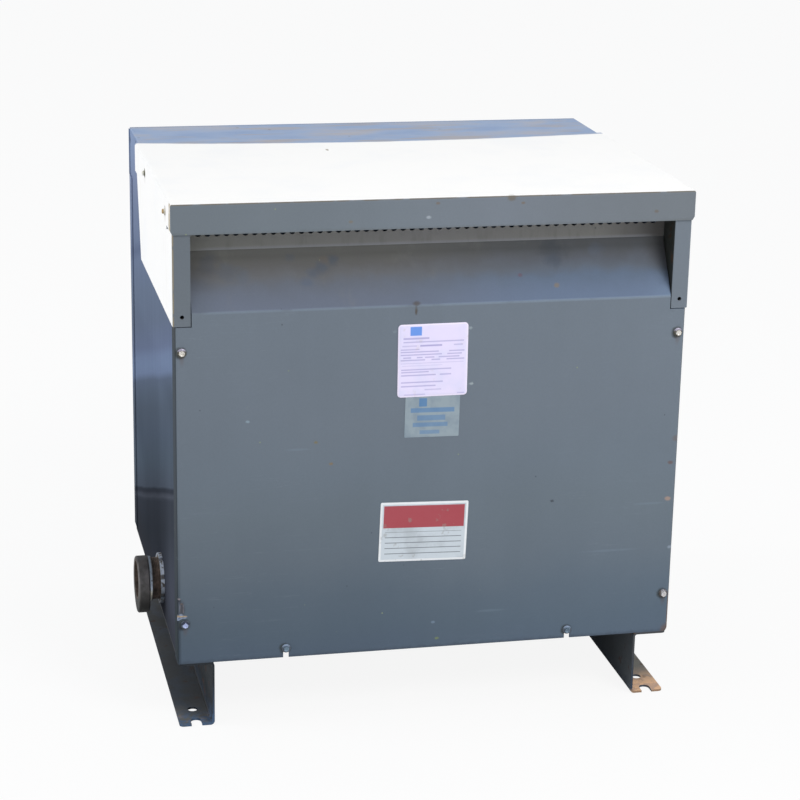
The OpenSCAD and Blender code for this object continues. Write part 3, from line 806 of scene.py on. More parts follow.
post_enamel = frame_paint("post_enamel", "5a626b", 0.3, cheek_shade="2f322f")
left_rail_enamel = frame_paint(
    "left_rail_enamel", "4a4e52", 0.4, ("5a5854", "4c4d4f"), cheek_shade="2b2f33", cheek_from=0.1,
    tip=("4c5d70", "3c485a", "2c3035"), gloss=0.08)
right_rail_enamel = frame_paint(
    "right_rail_enamel", "4c535b", 0.95, ("cfa783", "66655f"), cheek_shade="4a4f53", even=0.2,
    tip=("b28f6c", "38414e", "46484b"), gloss=0.15)
inner_enamel = frame_paint("inner_enamel", "454c55", 0.6)
clamp_paint = frame_paint("clamp_paint", "5f656c", 0.5)


# %% [markdown]
# ## Zinc and screws
# The nuts and screws have bright blue-white zinc, dulled in patches. A screw's hexagon is
# bright over a dirty washer, with a painted highlight on the washer's upper slope and painted
# shade on faces that look down. Both are one mesh, so how far a point stands out of the box
# tells which of the two it is.

# %% Zinc and screw finishes
nut_low, nut_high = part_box("conduit_locknut_outer")
WASHER_THICK = 0.002


def zinc_finish(name, code="b9c4d6", rusty=0.35):
    f = Finish(name, roughness=0.35, metallic=1.0)
    dull = f.patches(0.004, 0.4, 0.65, detail=4)
    rust = f.patches(0.006, 0.58, 0.68, detail=5, shift=2.0) * rusty
    colour = f.mix(f.mix(code, "868c94", dull * 0.6), RUST_LIGHT, rust)
    return f.coat(colour, 0.28 + 0.3 * dull, f.noise(0.0012, detail=3), 0.25, 0.0002, Metallic=1.0 - rust)


def screw_finish(name, head_code, seat_code, rim_code, dull_code, peak=None):
    """A bright hexagon over a dirty washer; painted highlight on the upper slope, painted shade below,
    painted shadow above it at peak.
    """
    f = Finish(name, roughness=0.4, metallic=0.6)
    out_y = abs(f.y - (face + back) / 2) - (back - face) / 2
    out_x = abs(f.x - (lid_low.x + lid_high.x) / 2) - (lid_high.x - lid_low.x) / 2
    head = f.fade(f.larger(out_y, out_x), WASHER_THICK - 0.0002, WASHER_THICK + 0.0002)
    look_z = f.facing()[2]
    # Painted highlight on the washer's upper slope.
    seat = f.mix(seat_code, rim_code, f.fade(look_z, 0.1, 0.4) * f.patches(0.004, 0.3, 0.45))
    dull = f.patches(0.0025, 0.48, 0.62, detail=4)
    colour = f.mix(seat, f.mix(head_code, dull_code, dull * 0.6), head)
    if peak:
        slope = f.z - peak.z + 0.9 * abs(f.x - peak.x)
        shadow = f.mix("272d40", "54606b", f.fade(slope, 0.0068, 0.008))
        colour = f.mix(colour, shadow, f.fade(slope, 0.0036, 0.0046) * 0.9)
    # Painted shade on the faces that look down.
    colour = f.mix(colour, "3c3832", f.fade(-look_z, 0.3, 0.7) * 0.8)
    metal = 0.2 + 0.5 * head
    return f.coat(colour, 0.35 + 0.3 * dull, f.noise(0.0012, detail=3), 0.25, 0.0002, Metallic=metal)


zinc = zinc_finish("zinc")
rod_steel = zinc_finish("rod_steel", "9a9fa6", 0.5)
cream_screw = screw_finish("cream_screw", "e4e0d8", "4b4a42", "9c98ac", "8d8170")
lilac_screw = screw_finish("lilac_screw", "b9c6ee", "4c5660", "54606b", "8b93ac", peak=front_screws[2])
pale_screw = screw_finish("pale_screw", "dcdadb", "4a4340", "85858f", "94908c")
dull_screw = screw_finish("dull_screw", "75899a", "505863", "7f90a8", "5f6c7c")
tan_screw = screw_finish("tan_screw", "b99d6e", "c9c4b4", "e4e1d6", "a58a60")
# Near-white head as painted sunlight, like the lid, over a washer painted dark as its shadow.
dark_screw = screw_finish("dark_screw", "f1f1ea", "55543f", "a5a492", "c9c8ba")


# %% [markdown]
# ## The conduit fitting
# The nipple has lost its plating and is brown. The locknut is brown on its flats, with a
# painted highlight only round its rim, brighter towards the top, so its colour follows the
# distance from the fitting's axis. The connector is a dark casting, painted darker at the
# bottom and brightest in a band above its middle as if lit from above, and its thin collar
# has a painted highlight that changes with the height.

# %% Fitting finishes
barrel_low, barrel_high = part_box("conduit_connector")
# Painted highlight of the collar, from its lower to its upper edge.
COLLAR_HIGHLIGHT = ((0.0, "7b7a76"), (0.3, "ece6d6"), (0.5, "c3cddd"), (0.8, "aab6c6"), (1.0, "8d99a6"))
BROWN = ((0.3, "332b26"), (0.5, "4a3f37"), (0.66, "62524a"), (0.8, "78695b"))


def highlit_nut():
    f = Finish("nut_zinc", roughness=0.45, metallic=0.7)
    axis_y, axis_z = (nut_low.y + nut_high.y) / 2, (nut_low.z + nut_high.z) / 2
    reach = ((f.y - axis_y) * (f.y - axis_y) + (f.z - axis_z) * (f.z - axis_z)) ** 0.5
    # Painted highlight round the rim, brighter towards the top.
    rim = f.fade(reach, 0.0335, 0.0355) * f.patches(0.007, 0.36, 0.5, detail=4)
    bright = f.mix("7d8793", "cfd9ea", f.fade(f.z, axis_z - 0.02, axis_z + 0.015))
    colour = f.mix(f.mix("4a4541", "66625f", f.noise(0.005, detail=5)), bright, rim)
    return f.coat(colour, 0.6 - 0.25 * rim, f.noise(0.0015, detail=3), 0.3, 0.0002, Metallic=0.3 + 0.5 * rim)


def rusty_steel_finish():
    f = Finish("rusty_steel", roughness=0.8, metallic=0.2)
    colour = f.ramp(f.noise(0.008, detail=7), BROWN)
    return f.coat(colour, 0.7 + 0.2 * f.noise(0.01), f.noise(0.0025, detail=6), 0.6, 0.0006)


def cast_finish():
    f = Finish("cast_fitting", roughness=0.6, metallic=0.4)
    colour = f.ramp(f.noise(0.012, detail=6), ((0.3, "383636"), (0.55, "4f4d4e"), (0.75, "5a5552")))
    # Painted light from above: darker at the bottom, brightest in a band above the middle.
    above = f.fade(f.z, barrel_low.z + 0.02, barrel_high.z - 0.012)
    colour = f.mix(f.mix(colour, "3a3931", 0.4), colour, above)
    rise = f.fade(f.z, barrel_low.z + 0.016, barrel_low.z + 0.056)
    upper = f.fade(f.z, barrel_low.z + 0.064, barrel_low.z + 0.082)
    colour = f.scale(colour, 0.34 + 1.45 * rise - 0.85 * upper)
    # Painted highlight on the thin collar, changing with the height.
    inward = barrel_high.x - f.x + f.stray(0.004, -0.001)
    collar = (1 - f.fade(inward, 0.0037, 0.0043)) * f.fade(inward, 0.0008, 0.0014)
    colour = f.mix(colour, f.ramp(above, COLLAR_HIGHLIGHT), collar * f.patches(0.008, 0.3, 0.42))
    metal = 0.4 + 0.5 * collar
    return f.coat(colour, 0.6 - 0.25 * collar, f.noise(0.0018, detail=4), 0.5, 0.0004, Metallic=metal)


nut_zinc, rusty_steel, cast_fitting = highlit_nut(), rusty_steel_finish(), cast_finish()


# %% [markdown]
# ## Inside: core, coils and blocks
# Little of the inside is seen, but from below the coils show through the open bottom. The
# core's edge is a stack of thin steel sheets, so its finish has fine lines across the stack.
# The coils are wound in varnished tape, one turn above the other. Both patterns are even
# waves along one direction.

# %% Inner finishes
TAPE = ((0.3, "5b3516"), (0.5, "8a5726"), (0.7, "a87840"))


def core_finish():
    f = Finish("core_steel", roughness=0.45, metallic=0.6)
    lines = f.layers("Y", 160.0, 0.4)
    colour = f.mix("2d2e31", "57524c", lines * 0.6)
    colour = f.mix(colour, RUST, f.patches(0.03, 0.58, 0.7, detail=6) * 0.5)
    return f.coat(colour, 0.4 + 0.2 * lines, lines, 0.3, 0.0003)


def winding_finish():
    f = Finish("winding", roughness=0.35)
    lap = f.layers("Z", 42.0, 0.6)
    colour = f.scale(f.ramp(f.noise(0.03, stretch=(1, 1, 4), detail=5), TAPE), 0.6 + 0.4 * lap)
    return f.coat(colour, 0.3 + 0.25 * lap, lap, 0.6, 0.0008)


def block_finish():
    f = Finish("insulating_block", roughness=0.6)
    plies = f.noise(0.004, stretch=(0.1, 1, 0.1), detail=3)
    colour = f.ramp(plies, ((0.35, "9a7c4e"), (0.65, "c6ad80")))
    return f.coat(colour, 0.55 + 0.15 * plies, plies, 0.2, 0.0003)


def rubber_finish():
    f = Finish("pad_rubber", roughness=0.8)
    colour = f.mix("1c1c1d", "4a4640", f.patches(0.015, 0.5, 0.7, detail=5) * 0.6)
    return f.coat(colour, 0.7 + 0.2 * f.noise(0.01), f.noise(0.002), 0.3, 0.0003)


core_steel, winding = core_finish(), winding_finish()
insulating_block, pad_rubber = block_finish(), rubber_finish()


# %% [markdown]
# ## Dress the solids
# Each solid takes one finish. The names are those of the source, so a wrong name stops the
# script here instead of leaving a bare piece in the scene.

# %% Give each solid its finish
FINISHES = {
    front_enamel: ["front_cover"],
    rear_enamel: ["rear_cover"],
    side_enamel: ["side_panel_left", "side_panel_right"],
    hood_enamel: ["hood_lid"],
    skirt_enamel: ["hood_skirt_left", "hood_skirt_right"],
    top_enamel: ["top_panel"],
    vent_enamel: ["vent_header_front", "vent_header_rear"],
    post_enamel: ["post_front_left", "post_front_right", "post_rear_left", "post_rear_right"],
    left_rail_enamel: ["foot_rail_left"],
    right_rail_enamel: ["foot_rail_right"],
    inner_enamel: ["base_angle_front", "base_angle_rear", "core_channel_front", "core_channel_rear"],
    rusty_steel: ["conduit_nipple"],
    nut_zinc: ["conduit_locknut_outer", "conduit_locknut_inner"],
    cast_fitting: ["conduit_connector"],
    core_steel: ["core"],
    clamp_paint: [f"core_clamp_{level}_{side}" for level in ("lower", "upper") for side in ("front", "rear")],
    winding: ["coil_left", "coil_middle", "coil_right"],
    insulating_block: ["coil_blocks"],
    rod_steel: ["tie_rods"],
    pad_rubber: ["isolation_pads"],
}
for material, names in FINISHES.items():
    for name in names:
        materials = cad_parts[name].data.materials
        materials.clear()
        materials.append(material)
undressed = set(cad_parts) - {n for names in FINISHES.values() for n in names}
print("dressed", len(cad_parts) - len(undressed), "solids; left over:", sorted(undressed))


# %% [markdown]
# ## Pieces from loops of points
# Screws, nuts, the thread and the labels are all built in one way: loops with the same number
# of points are stacked, and four-sided faces join each loop to the next. The ends are closed
# by one face each, or the last loop is joined to the first. So every piece is one closed
# mesh, with no joins to hide.

# %% Join loops, add a piece
def put(name, data):
    """Makes an object of a mesh, a lamp or a camera, and puts it in the scene."""
    made = bpy.data.objects.new(name, data)
    bpy.context.scene.collection.objects.link(made)
    return made


def put_mesh(name, mesh, material):
    """Turns a bmesh into an object with one finish."""
    data = bpy.data.meshes.new(name)
    mesh.to_mesh(data)
    mesh.free()
    data.materials.append(material)
    return put(name, data)


def skin(loops, ring=False):
    """A bmesh through loops of points. A ring goes back from the last loop to the first."""
    mesh = bmesh.new()
    loops = [[mesh.verts.new(point) for point in loop] for loop in loops]
    around = len(loops[0])
    for low, high in zip(loops, loops[1:] + (loops[:1] if ring else [])):
        for i in range(around):
            j = (i + 1) % around
            mesh.faces.new((low[i], low[j], high[j], high[i]))
    if not ring:
        mesh.faces.new(reversed(loops[0]))
        mesh.faces.new(loops[-1])
    bmesh.ops.recalc_face_normals(mesh, faces=mesh.faces)
    return mesh


def add_piece(name, mesh, material, place=None, sharp=32):
    """A piece that rides on the transformer. Edges sharper than sharp degrees stay hard."""
    if place:
        bmesh.ops.transform(mesh, matrix=place, verts=mesh.verts)
    piece = put_mesh(name, mesh, material)
    piece.data.shade_smooth()
    piece.data.set_sharp_from_angle(angle=math.radians(sharp))
    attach(piece, "root")
    return piece


def facing_out(place, outward, turn=0.0):
    """Puts a thing built along +Z at a place, standing along outward."""
    aim = Vector(outward).to_track_quat("Z", "Y").to_matrix().to_4x4()
    return Matrix.Translation(place) @ aim @ Matrix.Rotation(turn, 4, "Z")


print("a piece built upwards and put on the front looks along", facing_out((0, 0, 0), (0, -1, 0)).col[2][:3])


# %% [markdown]
# ## Turned and forged heads
# A screw, a bolt and a nut are stacks of rings, each round or six-sided. That gives a washer,
# a hexagon and a chamfered top. A hexagon is a circle whose radius grows towards each
# corner, and its corners are cut off a little, as on a forged head.

# %% Heads from rings
POINTS = 48
CORNER = 1.125


def ring_radius(turn, size, flats):
    """Distance from the middle at this angle: round, or six flats of half width size."""
    if not flats:
        return size
    sector = math.radians(60)
    off = (turn + sector / 2) % sector - sector / 2
    return min(size / math.cos(off), size * CORNER)


def head(profile, size=1.0):
    """A bmesh from rings in mm: height, radius or half width, and whether it has six flats."""
    loops = []
    turns = [2 * math.pi * i / POINTS for i in range(POINTS)]
    for height, radius, flats in profile:
        radii = [ring_radius(turn, radius * MM * size, flats) for turn in turns]
        loops.append([(r * math.cos(a), r * math.sin(a), height * MM * size) for r, a in zip(radii, turns)])
    return skin(loops)


HEX_HEAD = [
    (-0.2, 6.1, False), (0.4, 6.4, False), (0.7, 6.3, False), (1.9, 4.1, False), (1.95, 3.7, True),
    (4.4, 3.7, True), (4.9, 3.4, True), (5.0, 3.1, False), (4.9, 2.4, False), (4.5, 1.8, False),
]
NUT = [
    (0.0, 7.6, True), (0.6, 8.0, True), (6.4, 8.0, True), (7.0, 7.5, True), (7.05, 5.2, False),
    (6.2, 4.6, False),
]
BOLT = [(-0.3, 10.5, False), (1.6, 10.5, False), (1.7, 7.9, True), (7.2, 8.0, True), (7.8, 7.5, True)]
print("screw head:", 2 * HEX_HEAD[5][1], "mm over its flats and", HEX_HEAD[-3][0], "mm high")


# %% [markdown]
# ## Screws of the covers and the hood
# These are hexagon washer head screws. The washer is part of the head, a little dished, and
# the top of the hexagon is pressed in. No two are turned alike, so a seeded random number
# sets how far each one leans and then its angle.

# %% Screws
random.seed(11)
LEAN = 0.05


def screw(name, place, outward, material, size=1.0):
    lean = Euler((random.uniform(-LEAN, LEAN), random.uniform(-LEAN, LEAN), 0)).to_matrix().to_4x4()
    where = facing_out(place, outward, random.uniform(0, math.pi)) @ lean
    return add_piece(name, head(HEX_HEAD, size), material, where)


SCREW_FINISHES = (cream_screw, cream_screw, lilac_screw, pale_screw, dull_screw, dull_screw)
for side, way, places in (("front", -1, front_screws), ("rear", 1, rear_screws)):
    for i, (place, material) in enumerate(zip(places, SCREW_FINISHES)):
        screw(f"cover_screw_{side}_{i + 1}", place, (0, way, 0), material)
for i, place in enumerate(lid_screws):
    outward = (-1, 0, 0) if i < 2 else (1, 0, 0)
    screw(f"hood_screw_{i + 1}", place, outward, (tan_screw, dark_screw)[i % 2], 0.8)


# %% [markdown]
# ## Bolts under the rails, and nuts on the tie rods
# The side sheets stand on the foot rails, and bolts through both flanges hold them. Their
# heads show under the rail's upper flange. Inside, nuts close the ends of the four rods that
# clamp the core. Both are forged hexagons, built as the screws are.

# %% Bolts and nuts
RAIL_SHEET = 3 * MM
BOLT_SPACING = 205 * MM
rod_low, rod_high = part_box("tie_rods")
ROD_RADIUS = 5 * MM
reach_in = (rail_high.x - rail_low.x - RAIL_SHEET) / 2
for side, x in (("left", rail_low.x + reach_in), ("right", 2 * middle - rail_low.x - reach_in)):
    for i in range(3):
        where = facing_out((x, (i - 1) * BOLT_SPACING, rail_high.z - RAIL_SHEET), (0, 0, -1), i * 0.7)
        add_piece(f"rail_bolt_{side}_{i + 1}", head(BOLT), zinc, where)
for i, x in enumerate((rod_low.x + ROD_RADIUS, rod_high.x - ROD_RADIUS)):
    for j, y in enumerate((rod_low.y + ROD_RADIUS, rod_high.y - ROD_RADIUS)):
        for k, (z, way) in enumerate(((rod_low.z, 1), (rod_high.z, -1))):
            where = facing_out((x, y, z), (0, 0, way), 0.3 * (i + j))
            add_piece(f"rod_nut_{i + 1}{j + 1}{k + 1}", head(NUT), rod_steel, where)


# %% [markdown]
# ## The nipple's thread
# Between the collar and the locknut the pipe thread is bare. A thread is a ridge wound round
# a tube, so it is made as a fine tube whose radius rises and falls with the angle as well as
# along its length. Two plain loops inside it close the ring.

# %% Thread
PITCH = 2.2 * MM
RIDGE = 0.75 * MM
GAP = 0.1 * MM
ROOT_DEPTH, INNER_DEPTH = 0.05 * MM, 0.4 * MM
AROUND = 96
STEPS_A_TURN = 8
nipple_low, nipple_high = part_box("conduit_nipple")
nipple_radius = (nipple_high.z - nipple_low.z) / 2


def loop_at(x, radius_at):
    """A loop round the nipple's axis. radius_at takes the share of a turn."""
    loop = []
    for i in range(AROUND):
        turn, radius = 2 * math.pi * i / AROUND, radius_at(i / AROUND)
        y = (nipple_low.y + nipple_high.y) / 2 + radius * math.cos(turn)
        loop.append((x, y, (nipple_low.z + nipple_high.z) / 2 + radius * math.sin(turn)))
    return loop


def thread(name, start, end):
    steps = max(8, round((end - start) / PITCH * STEPS_A_TURN))
    loops = []
    for k in range(steps + 1):
        x = start + (end - start) * k / steps
        loops.append(loop_at(x, lambda share: nipple_radius - ROOT_DEPTH + RIDGE * (
            1 - abs(2 * (((x - start) / PITCH - share) % 1.0) - 1))))
    for x in (end, start):
        loops.append(loop_at(x, lambda share: nipple_radius - INNER_DEPTH))
    return add_piece(name, skin(loops, ring=True), rusty_steel, sharp=50)


thread("nipple_thread", barrel_high.x + GAP, nut_low.x - GAP)
print("thread turns:", round((nut_low.x - barrel_high.x - 2 * GAP) / PITCH, 1))


# %% [markdown]
# ## Label plates
# The real box has a rating plate and two stickers. Here they are left without words or
# marks. Each is a thin plate with round corners, turned a little as a hand would stick it,
# and its corners lift slightly.

# %% Label plate
CORNER_STEPS = 6


def label(name, corners_at, size, turn, material, thick, round_by, lift=0.4):
    """A thin plate with round corners. corners_at is its middle on the front face, in mm."""
    wide, high = size[0] / 2, size[1] / 2
    outline = []
    for cx, cz, start in ((1, 1, 0), (-1, 1, 90), (-1, -1, 180), (1, -1, 270)):
        for step in range(CORNER_STEPS + 1):
            a = math.radians(start + 90 * step / CORNER_STEPS)
            outline.append((cx * (wide - round_by) + round_by * math.cos(a),
                            cz * (high - round_by) + round_by * math.sin(a)))
    loops = []
    for inward, out in ((0.0, -0.05), (0.0, thick * 0.8), (0.25, thick), (6.0, thick)):
        loop = []
        for u, v in outline:
            shrink = (1 - inward / max(wide, high)) * MM
            raised = lift * (abs(u) / wide) ** 4 * (abs(v) / high) ** 4 if out > 0 else 0
            loop.append((u * shrink, v * shrink, (out + raised) * MM))
        loops.append(loop)
    where = facing_out(on_front(*corners_at), (0, -1, 0)) @ Matrix.Rotation(math.radians(turn), 4, "Z")
    return add_piece(name, skin(loops), material, place=where, sharp=60)


print("a label's outline has", 4 * (CORNER_STEPS + 1), "points")


# %% [markdown]
# ## Print without words
# Plain bars and ruled lines stand where print would be. The pattern is worked out on the
# plate's own two directions: a band is a soft step up and a soft step down, and lines that
# repeat come from the height folded back and forth over their spacing.

# %% Print
class Print(Finish):
    """A finish with the two directions of a label, in millimetres from its middle."""

    def __init__(self, name, corners_at, turn, **kind):
        super().__init__(name, **kind)
        at = on_front(*corners_at)
        a = math.radians(turn)
        dx, dz = (self.x - at.x) / MM, (self.z - at.z) / MM
        self.u = dx * math.cos(a) + dz * math.sin(a)
        self.v = dz * math.cos(a) - dx * math.sin(a)

    def band(self, value, low, high, soft=0.35):
        return self.fade(value, low - soft, low + soft) * (1 - self.fade(value, high - soft, high + soft))

    def block(self, left, right, bottom, top_edge):
        return self.band(self.u, left, right) * self.band(self.v, bottom, top_edge)

    def rules(self, spacing, thick):
        rest = self.node("ShaderNodeMath", {"operation": "PINGPONG"}, {0: self.v, 1: spacing / 2})
        return 1 - self.fade(rest, thick / 2, thick / 2 + 0.25)


# Height of a row above the plate's middle, its own height, its strength, and its bars.
PLATE_ROWS = (
    (31.5, 2.6, 0.5, (-41.5, -5.5)), (26.5, 1.8, 0.45, (-41.5, 43)), (21, 2.0, 0.3, (-43, -22.5)),
    (21, 2.4, 0.6, (-18, 12.5)), (21, 1.8, 0.4, (29, 41.5)), (16, 1.7, 0.45, (-45, -19)),
    (12.5, 1.7, 0.5, (-45, 8), (22.5, 44)), (8.5, 1.7, 0.5, (-45, 12.5), (20, 40.5)),
    (4.5, 1.7, 0.5, (-41.5, -30.5), (-22.5, -14.5), (-11, 2), (8, 37)),
    (1, 1.7, 0.5, (-45, -11), (-2, 10), (19, 44)), (-3.5, 1.1, 0.25, (-45, 43)), (-7, 1.1, 0.2, (-43, 13.5)),
    (-12.5, 1.7, 0.5, (-44, 26)), (-16, 1.7, 0.5, (-44, -5.5)), (-20.5, 1.8, 0.5, (-44, 4.5), (10, 26)),
    (-30.5, 1.8, 0.5, (-44, 14.5)), (-36, 1.8, 0.5, (-44, 4.5)), (-41.5, 1.7, 0.35, (-11, 12.5)),
    (-48, 1.7, 0.35, (-39.5, -10), (35, 45)),
)
# Left, right, lower and upper edge of a bar, and its strength.
TAPE_BARS = (
    (-19, -8, 11, 23, 0.75), (-30.5, 31, 2.5, 9, 0.6), (-21, 18.5, -9, -1.5, 0.5), (-27, 22, -18, -12, 0.5),
    (-17, 11, -28.5, -23, 0.45),
)


def rating_plate(at, size, turn):
    """White, tinted lilac as painted sky light in the shade, with a rim, one blue block and rows of plain
    bars.
    """
    f = Print("rating_plate", at, turn, roughness=0.4, gloss=0.4)
    # Painted sky light: the white plate is tinted lilac, as in open shade.
    colour = f.mix("e8e0fc", "dfdcf9", f.patches(0.03, 0.4, 0.7))
    colour = f.mix(colour, "f2eaff", 1 - f.block(-47, 47, -49.5, 49.5))
    colour = f.mix(colour, "4f8ee6", f.block(-32, -16, 35.5, 48) * 0.9)
    ink = 0.0
    for v, high, strength, *spans in PLATE_ROWS:
        for left, right in spans:
            ink = ink + f.block(left, right, v - high / 2, v + high / 2) * strength
    colour = f.mix(colour, "8179bd", ink)
    stain = f.patches(0.02, 0.6, 0.75, detail=6)
    colour = f.mix(colour, "b8ac9a", stain * 0.4)
    return f.coat(colour, 0.35 + 0.2 * stain, f.noise(0.004), 0.1, 0.0002)


def tape_label(at, size, turn):
    """Clear tape over the enamel, with blue bars."""
    f = Print("tape_label", at, turn, roughness=0.5, gloss=0.3)
    colour = f.mix("93a1aa", "8594a0", f.patches(0.02, 0.4, 0.7))
    for *edges, strength in TAPE_BARS:
        colour = f.mix(colour, "3f78ad", f.block(*edges) * strength)
    return f.coat(colour, 0.45 + 0.2 * f.noise(0.01), f.noise(0.004), 0.15, 0.0002)


def record_card(at, size, turn):
    """A card for notes: white border, red band above, ruled lines below."""
    f = Print("record_card", at, turn, roughness=0.4, gloss=0.4)
    colour = f.mix("c9d2da", "b7bfc6", f.patches(0.03, 0.45, 0.7, detail=5))
    wide, high = size[0] / 2, size[1] / 2
    edge = 1 - f.block(-wide + 3, wide - 3, -high + 3, high - 3)
    colour = f.mix(colour, "a5323f", f.block(-wide + 5, wide - 5, 6, high - 5) * 0.95)
    colour = f.mix(colour, "4b525a", f.rules(8.0, 0.9) * f.block(-wide + 8, wide - 8, -high + 7, 0) * 0.75)
    colour = f.mix(colour, "eceff2", edge * 0.9)
    scuffs = f.patches(0.012, 0.6, 0.68, detail=6)
    colour = f.mix(colour, "8f8d88", scuffs * 0.4)
    return f.coat(colour, 0.35 + 0.3 * scuffs, f.noise(0.004), 0.1, 0.0002)


# Name, middle and size in mm, turn in degrees, print, thickness and corner radius in mm.
LABELS = (
    ("label_lower_tape", (-2.4, 303), (76.8, 66), -0.7, tape_label, 0.25, 1.5),
    ("label_rating_plate", (-3.5, 226), (97.6, 102.8), 0.2, rating_plate, 0.8, 5.0),
    ("label_record_card", (-11, 474), (125, 87), -1.6, record_card, 0.4, 2.0),
)
for name, at, size, turn, print_of, thick, corner in LABELS:
    label(name, at, size, turn, print_of(at, size, turn), thick, corner)
print("labels:", [row[0] for row in LABELS])


# %% [markdown]
# ## The torn place
# Above the lower left screw the sheet was hit: a brown gouge runs down, and under it the
# metal is pushed up into a bright ridge. The cover itself isn't cut. A small patch of fine
# squares lies on it, sunk at its rim and lifted in the middle by a few bumps and noise.

# %% Crumpled patch
from mathutils import noise as wrinkle

CELLS = 44
SUNK = 0.12


def crumpled(name, at, size, ridges, material, rough=0.35):
    """A patch on the front face, size in mm, whose ridges are (u, v, wide, high, rise)."""
    mesh = bmesh.new()
    grid = []
    for j in range(CELLS + 1):
        row = []
        for i in range(CELLS + 1):
            u, v = size[0] * (i / CELLS - 0.5), size[1] * (j / CELLS - 0.5)
            rise = sum(up * math.exp(-((u - ru) / wide) ** 2 - ((v - rv) / high) ** 2)
                       for ru, rv, wide, high, up in ridges)
            rise += rough * rise * wrinkle.noise(Vector((u * 0.5, v * 0.5, 1.7))) * 2
            rim = min(1.0, 4 * min(i, CELLS - i, j, CELLS - j) / CELLS)
            row.append(mesh.verts.new((u * MM, v * MM, (rise * rim - SUNK) * MM)))
        grid.append(row)
    for low, far in zip(grid, grid[1:]):
        for i in range(CELLS):
            mesh.faces.new((low[i], low[i + 1], far[i + 1], far[i]))
    return add_piece(name, mesh, material, facing_out(on_front(*at), (0, -1, 0)), sharp=80)


def torn_steel():
    """Brown in the gouge, bright blue on the ridge as a painted highlight, brighter the further it stands
    out.
    """
    f = Finish("torn_steel", roughness=0.45, metallic=0.6)
    proud = f.fade(face - f.y, 0.0003, 0.0018)
    brown = f.mix("534b4a", "6a5e60", f.patches(0.004, 0.4, 0.6, detail=5))
    aside = abs(f.x - (middle - 0.3495)) + f.stray(0.004, 0.001)
    gouge = f.mix(brown, "5b6a7c", f.fade(aside, 0.0016, 0.0026) * 0.7)
    # Painted highlight: the raised ridge is bright blue where it catches the sky.
    bright = f.mix("97a4bc", "66748a", f.patches(0.003, 0.4, 0.6, detail=4))
    ridge = f.mix(bright, "9b8a76", f.fade(f.z, top - 0.5802, top - 0.5792))
    colour = f.mix(ridge, gouge, f.fade(f.z, top - 0.5775, top - 0.5765))
    metal = 0.3 + 0.6 * proud
    return f.coat(colour, 0.5 - 0.15 * proud, f.noise(0.0015, detail=4), 0.5, 0.0004, Metallic=metal)


RIDGE_BUMPS = ((-3.5, -0.6, 2.5, 1.8, 1.1), (-0.5, 1.1, 5.5, 0.7, 1.0), (3.5, -0.4, 3, 1.2, 0.7))
GOUGE_BUMPS = ((-2.3, 0, 0.8, 6, 0.5), (2.3, -1, 0.8, 6, 0.6), (0, 7, 2, 1.5, 0.35))
torn = torn_steel()
crumpled("torn_ridge", (-348.4, 580), (15, 9), RIDGE_BUMPS, torn)
crumpled("torn_gouge", (-349.5, 567), (8, 20), GOUGE_BUMPS, torn)


# %% [markdown]
# ## The floor
# The studio is plain, and its floor is a wide pale sheet. The camera sees most of it as
# white, by its own glow, while the rest of its look is matte and keeps the object's shadow.

# %% Floor
FLOOR_HALF = 40.0
SHARE_OF_GLOW = 0.9
floor_finish = bpy.data.materials.new("pale_floor")
tree = Tree(floor_finish)
matte = tree.node("ShaderNodeBsdfDiffuse", inputs={0: (0.86, 0.86, 0.86)})
glow = tree.node("ShaderNodeEmission")
seen = tree.node("ShaderNodeLightPath", out="Is Camera Ray")
blend = tree.node("ShaderNodeMixShader", inputs={0: seen * SHARE_OF_GLOW, 1: matte, 2: glow})
tree.node("ShaderNodeOutputMaterial", inputs={0: blend})

sheet = bmesh.new()
bmesh.ops.create_grid(sheet, x_segments=8, y_segments=8, size=FLOOR_HALF)
floor = put_mesh("floor", sheet, floor_finish)
floor.location.z = -0.5 * MM
floor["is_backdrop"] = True
print("floor is", round(2 * FLOOR_HALF), "m wide")


# %% [markdown]
# ## The sky
# The camera sees the sky as white, and so do mirrors and glass, while the light that the sky
# gives is held back. So the paint shows about the colours that are written above.

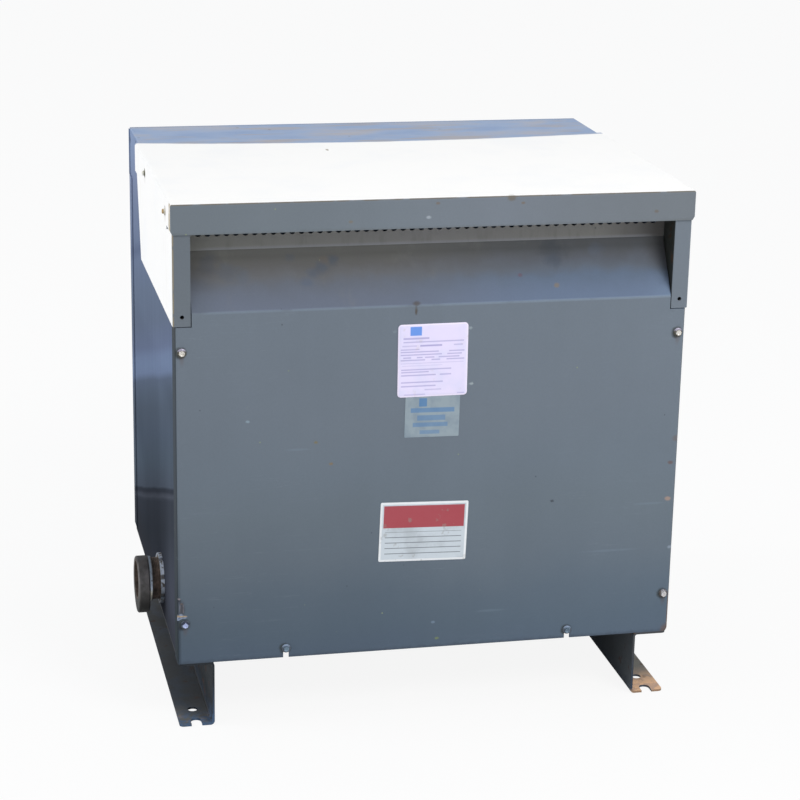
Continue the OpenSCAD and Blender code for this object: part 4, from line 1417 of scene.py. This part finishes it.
# %% Sky
world = bpy.data.worlds.new("plain_sky")
bpy.context.scene.world = world
tree = Tree(world)
sky = tree.node("ShaderNodeBackground", inputs={0: (0.93, 0.96, 1.0), 1: 0.62})
white = tree.node("ShaderNodeBackground", inputs={0: (1, 1, 1), 1: 1.0})
camera_ray, mirror_ray, glass_ray = (
    tree.node("ShaderNodeLightPath", out=f"Is {kind} Ray") for kind in ("Camera", "Glossy", "Transmission"))
seen = tree.larger(tree.larger(camera_ray, mirror_ray), glass_ray)
blend = tree.node("ShaderNodeMixShader", inputs={0: seen, 1: sky, 2: white})
tree.node("ShaderNodeOutputWorld", inputs={0: blend})
print("sky's tree:", len(tree.nodes), "nodes")


# %% [markdown]
# ## The lamps
# A wide soft lamp stands high in front on the right and is a little warm, like the sun. A
# second one on the left keeps the side sheet and the conduit fitting from going dark.

# %% Lamps
def soft_lamp(name, place, aim, size, watts, colour=(1, 1, 1)):
    data = bpy.data.lights.new(name, "AREA")
    data.shape, data.size, data.energy, data.color = "DISK", size, watts, colour
    lamp = put(name, data)
    lamp.location = place
    lamp.rotation_euler = (Vector(aim) - Vector(place)).to_track_quat("-Z", "Y").to_euler()
    return lamp


soft_lamp("key_lamp", (1.6, -2.8, 3.0), (0, 0, 0.35), 1.8, 75, (1.0, 0.98, 0.95))
soft_lamp("side_lamp", (-4.5, 0.4, 2.4), (0, 0, 0.45), 2.4, 76)


# %% [markdown]
# ## The camera
# The camera stands a little to the left, 1.4 m above the floor, and looks down. It has a
# long lens, because a short one would make the box's upright edges lean together.

# %% Camera
camera_data = bpy.data.cameras.new("camera")
camera_data.lens, camera_data.sensor_width = 102.99, 36.0
camera_data.clip_start, camera_data.clip_end = 0.05, 200.0
camera = put("camera", camera_data)
camera.location = (-0.68943, -3.19313, 1.38590)
camera.rotation_euler = [math.radians(v) for v in (72.8339, -1.1042, -12.3627)]
bpy.context.scene.camera = camera
bpy.context.scene.view_settings.view_transform = "Standard"
print("camera is", round((camera.location - Vector((0, 0, 0.37))).length, 2), "m away")


# %% [markdown]
# ## The size after dressing
# The looks mustn't change the size of the object, so how much the box of the dressed object
# grows over the box of the solids is printed.

# %% Print the growth
dressed_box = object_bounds()
growth = [round((b - a) / MM, 2) for a, b in zip(cad_box[1] - cad_box[0], dressed_box[1] - dressed_box[0])]
print("the dressed object is larger by", growth, "mm")
